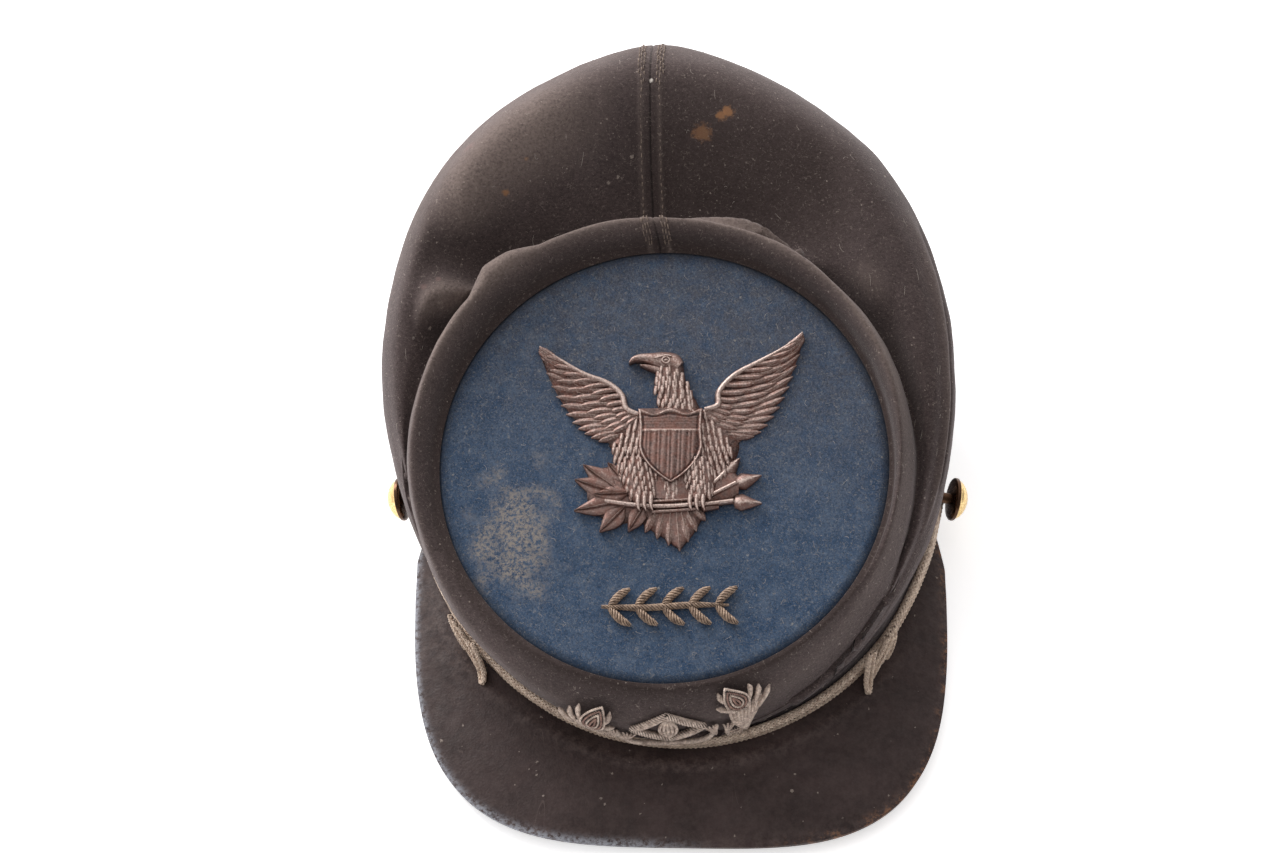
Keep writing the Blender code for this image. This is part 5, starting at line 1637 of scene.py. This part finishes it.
# %% Lozenge and scroll
LOZENGE_MIDDLE = (-0.5, 10.4)
LOZENGE_HALF_WIDTH = 11.2
LOZENGE_HALF_HEIGHT = 7.2
LOZENGE_FILLING_HALF_WIDTH = 2.6
LOZENGE_FILLING_THREADS = 5
front_normal = front_outward(*LOZENGE_MIDDLE)
strands, front_painted_shade_cores = [], []
corners = np.array(((0, -1), (1, 0), (0, 1), (-1, 0))) * np.array((LOZENGE_HALF_WIDTH, LOZENGE_HALF_HEIGHT))
for start, end in zip(corners, np.roll(corners, -1, axis=0)):
    line = LOZENGE_MIDDLE + start + np.linspace(0, 1, 9)[:, None] * (end - start)
    path = on_front(line[:, 0], line[:, 1], np.full(9, 0.9))
    strands += twisted(path, front_normal, 1.3, STROKE_PLIES, 5.0, (0.8, 1.0, 1.0, 0.8), STROKE_THICKNESS)
    front_painted_shade_cores.append((path, 0.95))
for part in np.linspace(-1, 1, LOZENGE_FILLING_THREADS):
    up = LOZENGE_HALF_HEIGHT * np.linspace(-0.86, 0.86, 9)
    bowed = LOZENGE_FILLING_HALF_WIDTH * part * np.cos(math.pi / 2 * np.linspace(-1, 1, 9))
    path = on_front(LOZENGE_MIDDLE[0] + bowed, LOZENGE_MIDDLE[1] + up, np.full(9, 1.1 - 0.3 * abs(part)))
    strands += twisted(path, front_normal, 0.62, 3, 2.2, (0.8, 1.0, 1.0, 0.8), 0.95)
lozenge = thread_piece("lozenge_bullion", strands, pale_bullion)
dress(lozenge, "bullion_thread", "front_lozenge")
# A dark core, painted as the shade between the lozenge's threads.
lozenge_painted_shade_core = thread_piece("lozenge_painted_shade_core", front_painted_shade_cores, bullion_painted_shade_core, 1)
dress(lozenge_painted_shade_core, "bullion_thread")

SCROLL_POINTS = (
    # across, rise, lift from the cloth
    (-16.6, 5.6, 0.9), (-15.2, 2.2, 1.3), (-11.5, 0.5, 2.2), (-6.0, 0.0, 1.9), (0.0, 0.0, 1.6), (
        6.0, 0.0, 1.6
    ),
    (10.0, 0.8, 1.5), (12.7, 3.8, 1.2), (14.2, 8.0, 0.9),
)
SCROLL_RADIUS = 0.95
# across, rise, lean
SCROLL_TUFTS = ((-16.4, 4.4, -1.0), (-13.6, 3.6, 0.6), (13.6, 6.6, -0.7), (16.6, 5.2, 1.0))
across, rise, lift = curve_through(SCROLL_POINTS, 70).T
scroll_outward = front_outward(0.0, 2.0)
strands = twisted(on_front(across, rise, lift), scroll_outward, SCROLL_RADIUS, 5, 3.0, (0.8, 1, 1, 1, 0.8))
for across, rise, lean in SCROLL_TUFTS:
    for spread in (-0.9, -0.3, 0.3, 0.9):
        tuft = np.array(((0.0, -2.6), (lean + spread, 0.0), (1.7 * lean + 2.2 * spread, 2.2)))
        path = on_front(across + tuft[:, 0], np.maximum(rise + tuft[:, 1], 0.2), np.array((1.7, 1.4, 0.9)))
        strands += twisted(path, scroll_outward, 0.5, 2, 1.8, (1, 1, 0.7))
for across in np.concatenate((np.arange(-22.0, -17.0, 0.85), np.arange(17.0, 21.5, 0.85))):
    tick = np.array((across, across + 0.9 * np.sign(across)))
    strands += twisted(
        on_front(tick, np.array((0.1, 1.7)), np.array((2.0, 0.9))), scroll_outward, 0.45, 2, 1.8
    )
scroll = thread_piece("scroll_bullion", strands, pale_bullion)
dress(scroll, "bullion_thread", "front_scroll")
print("threads in the scroll:", len(strands))

# %% [markdown]
# ## The chin cord
# One round braided cord is doubled along the front of the band and round the shank of each side button. It is
# held by a wrap of thinner cord on each side. The route is the frame's own, and the braid has six pairs of
# threads. Each pair turns opposite ways round the path, over two and under two. A dark core fills the
# middle, so no light falls through, and its dark colour is painted shade inside the braid.

# %% Route of the cord
CORD_DIAMETER = 2.8
CORD_PITCH = 3.1
CORD_ROUTE = ((0, 1.9), (20, 1.9), (38, 2.0), (52, 2.6), (64, 5.6), (72, 8.0))
CORD_POINTS = 60
BUTTON_ANGLE = math.radians(80)
BUTTON_HEIGHT = 16.0
BUTTON_SHANK_RADIUS = 1.8
BRAID_PITCH = 9.5
BRAID_THREAD = 0.4


def cord_place(angle, above_rim):
    """The middle of a strand that lies on the band."""
    return band_point(angle, rim_height(angle) + above_rim, CORD_DIAMETER / 2 + GAP)


def cord_outward(points):
    return band_outward(np.arctan2(points[:, 0] / HEAD_HALF_WIDTH, -points[:, 1] / HEAD_HALF_LENGTH))


def cord_points():
    """One closed loop: along the lower strand, round a shank, back along the upper one, round the other."""
    degrees, above = curve_through(CORD_ROUTE, CORD_POINTS).T
    degrees, above = np.concatenate((-degrees[:0:-1], degrees)), np.concatenate((above[:0:-1], above))
    lower = cord_place(np.radians(degrees), above)
    upper = cord_place(np.radians(degrees), above + CORD_PITCH)[::-1]
    turn = np.radians(np.linspace(-90, 90, 19))
    turn_radius = BUTTON_SHANK_RADIUS + CORD_DIAMETER / 2 + 3 * GAP
    angle = BUTTON_ANGLE + turn_radius * np.cos(turn) / HEAD_HALF_LENGTH
    height = BUTTON_HEIGHT + turn_radius * np.sin(turn)
    right = cord_place(angle, height - rim_height(angle))
    left = cord_place(-angle, height - rim_height(angle))[::-1]
    return np.concatenate((lower, right, upper, left))


cord_path = cord_points()
strands = braided(cord_path, cord_outward, CORD_DIAMETER / 2, 6, BRAID_PITCH, BRAID_THREAD, closed=True)
core_path, _, cord_length = even_steps(cord_path, 3.0, closed=True)
cord = thread_piece("braided_chin_cord", strands, cord_braid, 0, cyclic=True)
dress(cord, "cord_thread", "chin_cord")
# The dark core, painted as the shade inside the braid.
painted_shade_core = thread_piece(
    "cord_painted_shade_core", [(core_path, CORD_DIAMETER / 2 - 1.3 * BRAID_THREAD)], cord_painted_shade_core, 1, cyclic=True
)
dress(painted_shade_core, "cord_thread")
print("the cord's loop, mm:", round(cord_length))

# %% Wraps that hold the two strands together
# Each wrap is a chain of long loops that cross both strands steeply. The last loop hangs over the peak.
WRAP_LINKS = {
    # name: places as (angle from the front, height above the lower strand, lift from the band)
    "rear_link": ((49.4, 12.0, 4.8), (49.2, 7.6, 5.0), (48.0, 2.8, 5.1), (45.2, -1.6, 5.0)),
    "front_link": ((48.6, 9.0, 4.9), (46.6, 6.2, 5.0), (44.4, 3.0, 5.1), (41.6, 0.8, 5.8)),
    "end": ((43.4, 12.0, 4.8), (42.4, 8.0, 5.1), (41.4, 3.6, 5.8), (40.4, 1.0, 6.8), (39.5, 0.2, 8.3)),
}
WRAP_SHIFT = {-1: 2.6, 1: 0.0}  # the left wrap sits this many degrees further round
WRAP_HALF_WIDTH = 1.08
WRAP_CORD_RADIUS = 0.86


def wrap_place(way, place):
    """A place on a wrap, given the way that its side faces, from a row of the table."""
    angle, above, lift = place
    angle += WRAP_SHIFT[way]
    strand = smooth_rows(
        CORD_ROUTE, np.interp(angle, [row[0] for row in CORD_ROUTE], range(len(CORD_ROUTE)))
    )[1]
    return band_point(
        np.array(way * math.radians(angle)), rim_height(math.radians(angle)) + strand + above, lift
    )


def make_wrap(name, way, node):
    strands, painted_shade_cores = [], []
    for link in WRAP_LINKS.values():
        path = curve_through([wrap_place(way, place) for place in link], 14)
        outward = band_outward(np.array(way * math.radians(link[2][0]))) + np.array((0, 0, 0.35))
        _, side = directions(path, outward)
        turn = np.linspace(0, math.pi, 7)[1:-1]
        along = (path[-1] - path[-2]) / np.linalg.norm(path[-1] - path[-2])
        bow = [
            path[-1] + WRAP_HALF_WIDTH * (
                side[-1] * math.cos(angle) + along * math.sin(angle)
            ) for angle in turn
        ]
        loop = np.concatenate((path + side * WRAP_HALF_WIDTH, bow, (path - side * WRAP_HALF_WIDTH)[::-1]))
        strands += braided(loop, outward, WRAP_CORD_RADIUS, 4, 5.0, 0.34)
        # Dark cores of the wraps, painted as the shade inside their braid.
        painted_shade_cores.append((even_steps(loop, 1.0)[0], WRAP_CORD_RADIUS - 0.36))
    wrap = thread_piece(name, strands, cord_braid, 0)
    dress(wrap, "cord_thread", node)
    dress(thread_piece(name + "_core", painted_shade_cores, cord_painted_shade_core, 1), "cord_thread")
    return len(strands)


print(
    "threads in the wraps:", make_wrap("cord_wrap_left", -1, "slide_left"),
    make_wrap("cord_wrap_right", 1, "slide_right")
)

# %% [markdown]
# ## The side buttons
# Each button is turned, so it is one profile spun round its own axis: a shank, a flat back with a raised rim,
# and a gilt dome in front. The brass is bright on the dome and brown in the corners of the profile.

# %% Buttons
BUTTON_DROOP = math.radians(14)
BUTTON_PROFILE = (
    # distance from the band, radius
    (0.0, 0.0), (0.0, 1.8), (4.8, 1.8), (5.0, 6.0), (5.1, 6.4), (5.5, 6.9), (6.0, 7.0), (6.5, 6.9), (6.7, 6.5),
    (6.9, 6.3),
    (7.4, 6.15), (8.2, 5.6), (9.0, 4.6), (9.7, 3.4), (10.2, 2.0), (10.4, 0.7), (10.4, 0.0),
)
BUTTON_BACK_ENDS = 6.6
BUTTON_SEGMENTS = 72
gilt, tree, shader = new_material("gilt_brass")
tarnish = map_range(tree, noise_node(tree, 1500.0, 5.0, 0.7), 0.35, 0.7)
colour = mix_colour(tree, tarnish, linear(246, 220, 164), linear(206, 168, 108))
colour = mix_colour(tree, attribute(tree, "back"), colour, linear(84, 62, 48))
tree.links.new(colour, shader.inputs["Base Color"])
tree.links.new(map_range(tree, tarnish, 0.0, 1.0, 0.2, 0.42), shader.inputs["Roughness"])
shader.inputs["Metallic"].default_value = 1.0
bump(tree, shader, noise_node(tree, 2500.0, 3.0, 0.6), 0.05, 0.4)

for name, way, node in (("gilt_button_left", -1, "button_left"), ("gilt_button_right", 1, "button_right")):
    root = band_point(np.array(way * BUTTON_ANGLE), np.array(BUTTON_HEIGHT))
    outward = Vector((way * math.cos(BUTTON_DROOP), 0.0, -math.sin(BUTTON_DROOP)))
    turned = bmesh.new()
    back = turned.verts.layers.float.new("back")
    profile_verts = [turned.verts.new((radius * MM, 0.0, along * MM)) for along, radius in BUTTON_PROFILE]
    for vert, (along, _) in zip(profile_verts, BUTTON_PROFILE):
        vert[back] = 1.0 if along < BUTTON_BACK_ENDS else 0.0
    for low_vert, high_vert in zip(profile_verts, profile_verts[1:]):
        turned.edges.new((low_vert, high_vert))
    bmesh.ops.spin(
        turned, geom=turned.verts[:] + turned.edges[:], cent=(0, 0, 0), axis=(0, 0, 1),
        angle=2 * math.pi,
        steps=BUTTON_SEGMENTS, use_merge=True,
    )
    bmesh.ops.remove_doubles(turned, verts=turned.verts, dist=1e-6)
    bmesh.ops.recalc_face_normals(turned, faces=turned.faces)
    place = Matrix.Translation(Vector(in_metres(root)) + outward * 2 * GAP * MM)
    bmesh.ops.transform(
        turned, matrix=place @ outward.to_track_quat("Z", "Y").to_matrix().to_4x4(), verts=turned.verts
    )
    button = finish_mesh(name, turned, gilt, 40)
    dress(button, "button_brass", node)
print("two buttons made")

# %% [markdown]
# ## Stitches and stray fibres
# Two rows of pale stitches run up the back seam and over the roll, three millimetres to each side. Each
# stitch is a short thread that dips into the cloth at both ends. Stray fibres, such as every wool cap picks
# up, are single fine hairs scattered over the cloth and the felt with a fixed random seed.

# %% Stitches along the back seam
STITCH_PITCH = 2.3
STITCH_LENGTH = 1.55
STITCH_RADIUS = 0.17
STITCH_ROWS = (
    # distance from the seam, first and last station: a second row runs where the seam was sewn twice
    (3.0, 0.3, 12.6), (2.1, 4.9, 6.2), (3.9, 5.0, 6.1), (2.1, 9.9, 12.2), (3.9, 10.1, 12.0),
)
seam_thread = thread_material("seam_thread", linear(98, 84, 78), linear(148, 130, 116), 0.8, 0.0)

seam_stations = np.linspace(0.3, STATIONS["lip"] - 0.4, 400)
seam_line = crown_point(np.full(400, SEAM_ANGLE), seam_stations)
seam_run = run_along(seam_line)
half_widths = smooth_rows(list(CROWN_SECTIONS.values()), seam_stations)
half_widths = half_widths[:, 0] * (1 - half_widths[:, 6])
strands = []
for way, (from_middle, first, last) in ((way, row) for way in (-1, 1) for row in STITCH_ROWS):
    first_run, last_run = np.interp((first, last), seam_stations, seam_run)
    for start in np.arange(first_run, last_run - STITCH_PITCH, STITCH_PITCH):
        at = np.interp(start + STITCH_LENGTH * np.array((0.0, 0.2, 0.5, 0.8, 1.0)), seam_run, seam_stations)
        reach = from_middle + picks.uniform(-0.2, 0.2) + picks.uniform(-0.15, 0.15) * np.linspace(-1, 1, 5)
        lift = np.array((-0.1, 0.36, 0.46, 0.36, -0.1))
        angle = SEAM_ANGLE + way * reach / np.interp(at, seam_stations, half_widths)
        strands.append((crown_point(angle, at, lift), STITCH_RADIUS))
stitches = thread_piece("seam_stitches", strands, seam_thread, 1)
dress(stitches, "bullion_thread")
print("stitches:", len(strands))

# %% Stray fibres
FIBRE_COUNT = 260
FELT_FIBRE_COUNT = 220
FIBRE_RADIUS = 0.035
fibre = thread_material("stray_fibre", linear(150, 138, 128), linear(206, 196, 186), 0.8, 0.0)


def stray(place, spread):
    """A short bent hair near a place, given in the surface's own two directions."""
    turn, length = picks.uniform(0, 2 * math.pi), picks.uniform(0.8, 3.0)
    bend = picks.uniform(-2.4, 2.4)
    headings = turn + bend * np.linspace(0, 1, 5)
    steps = length / 5 * np.stack((np.cos(headings), np.sin(headings)), axis=1)
    return np.array(place) + np.cumsum(steps, axis=0) * spread


strands = []
for _ in range(FIBRE_COUNT):
    angle, station = picks.uniform(-math.pi, math.pi), picks.uniform(1.5, 11.0)
    track = stray((angle, station), np.array((1 / FOLD_REACH_PER_RADIAN, 1 / FOLD_REACH_PER_STATION)))
    strands.append((crown_point(track[:, 0], np.clip(track[:, 1], 1, 12.5), 0.5), FIBRE_RADIUS))
for _ in range(FELT_FIBRE_COUNT):
    reach, turn = math.sqrt(picks.random()) * 62, picks.uniform(0, 2 * math.pi)
    track = stray((reach * math.cos(turn), reach * math.sin(turn)), 1.0)
    strands.append((on_disc(track[:, 0], track[:, 1], 0.45), FIBRE_RADIUS))
fibres = thread_piece("stray_fibres", strands, fibre, 0)
dress(fibres, "dark_cloth")
print("fibres:", len(strands))


bpy.context.view_layer.update()
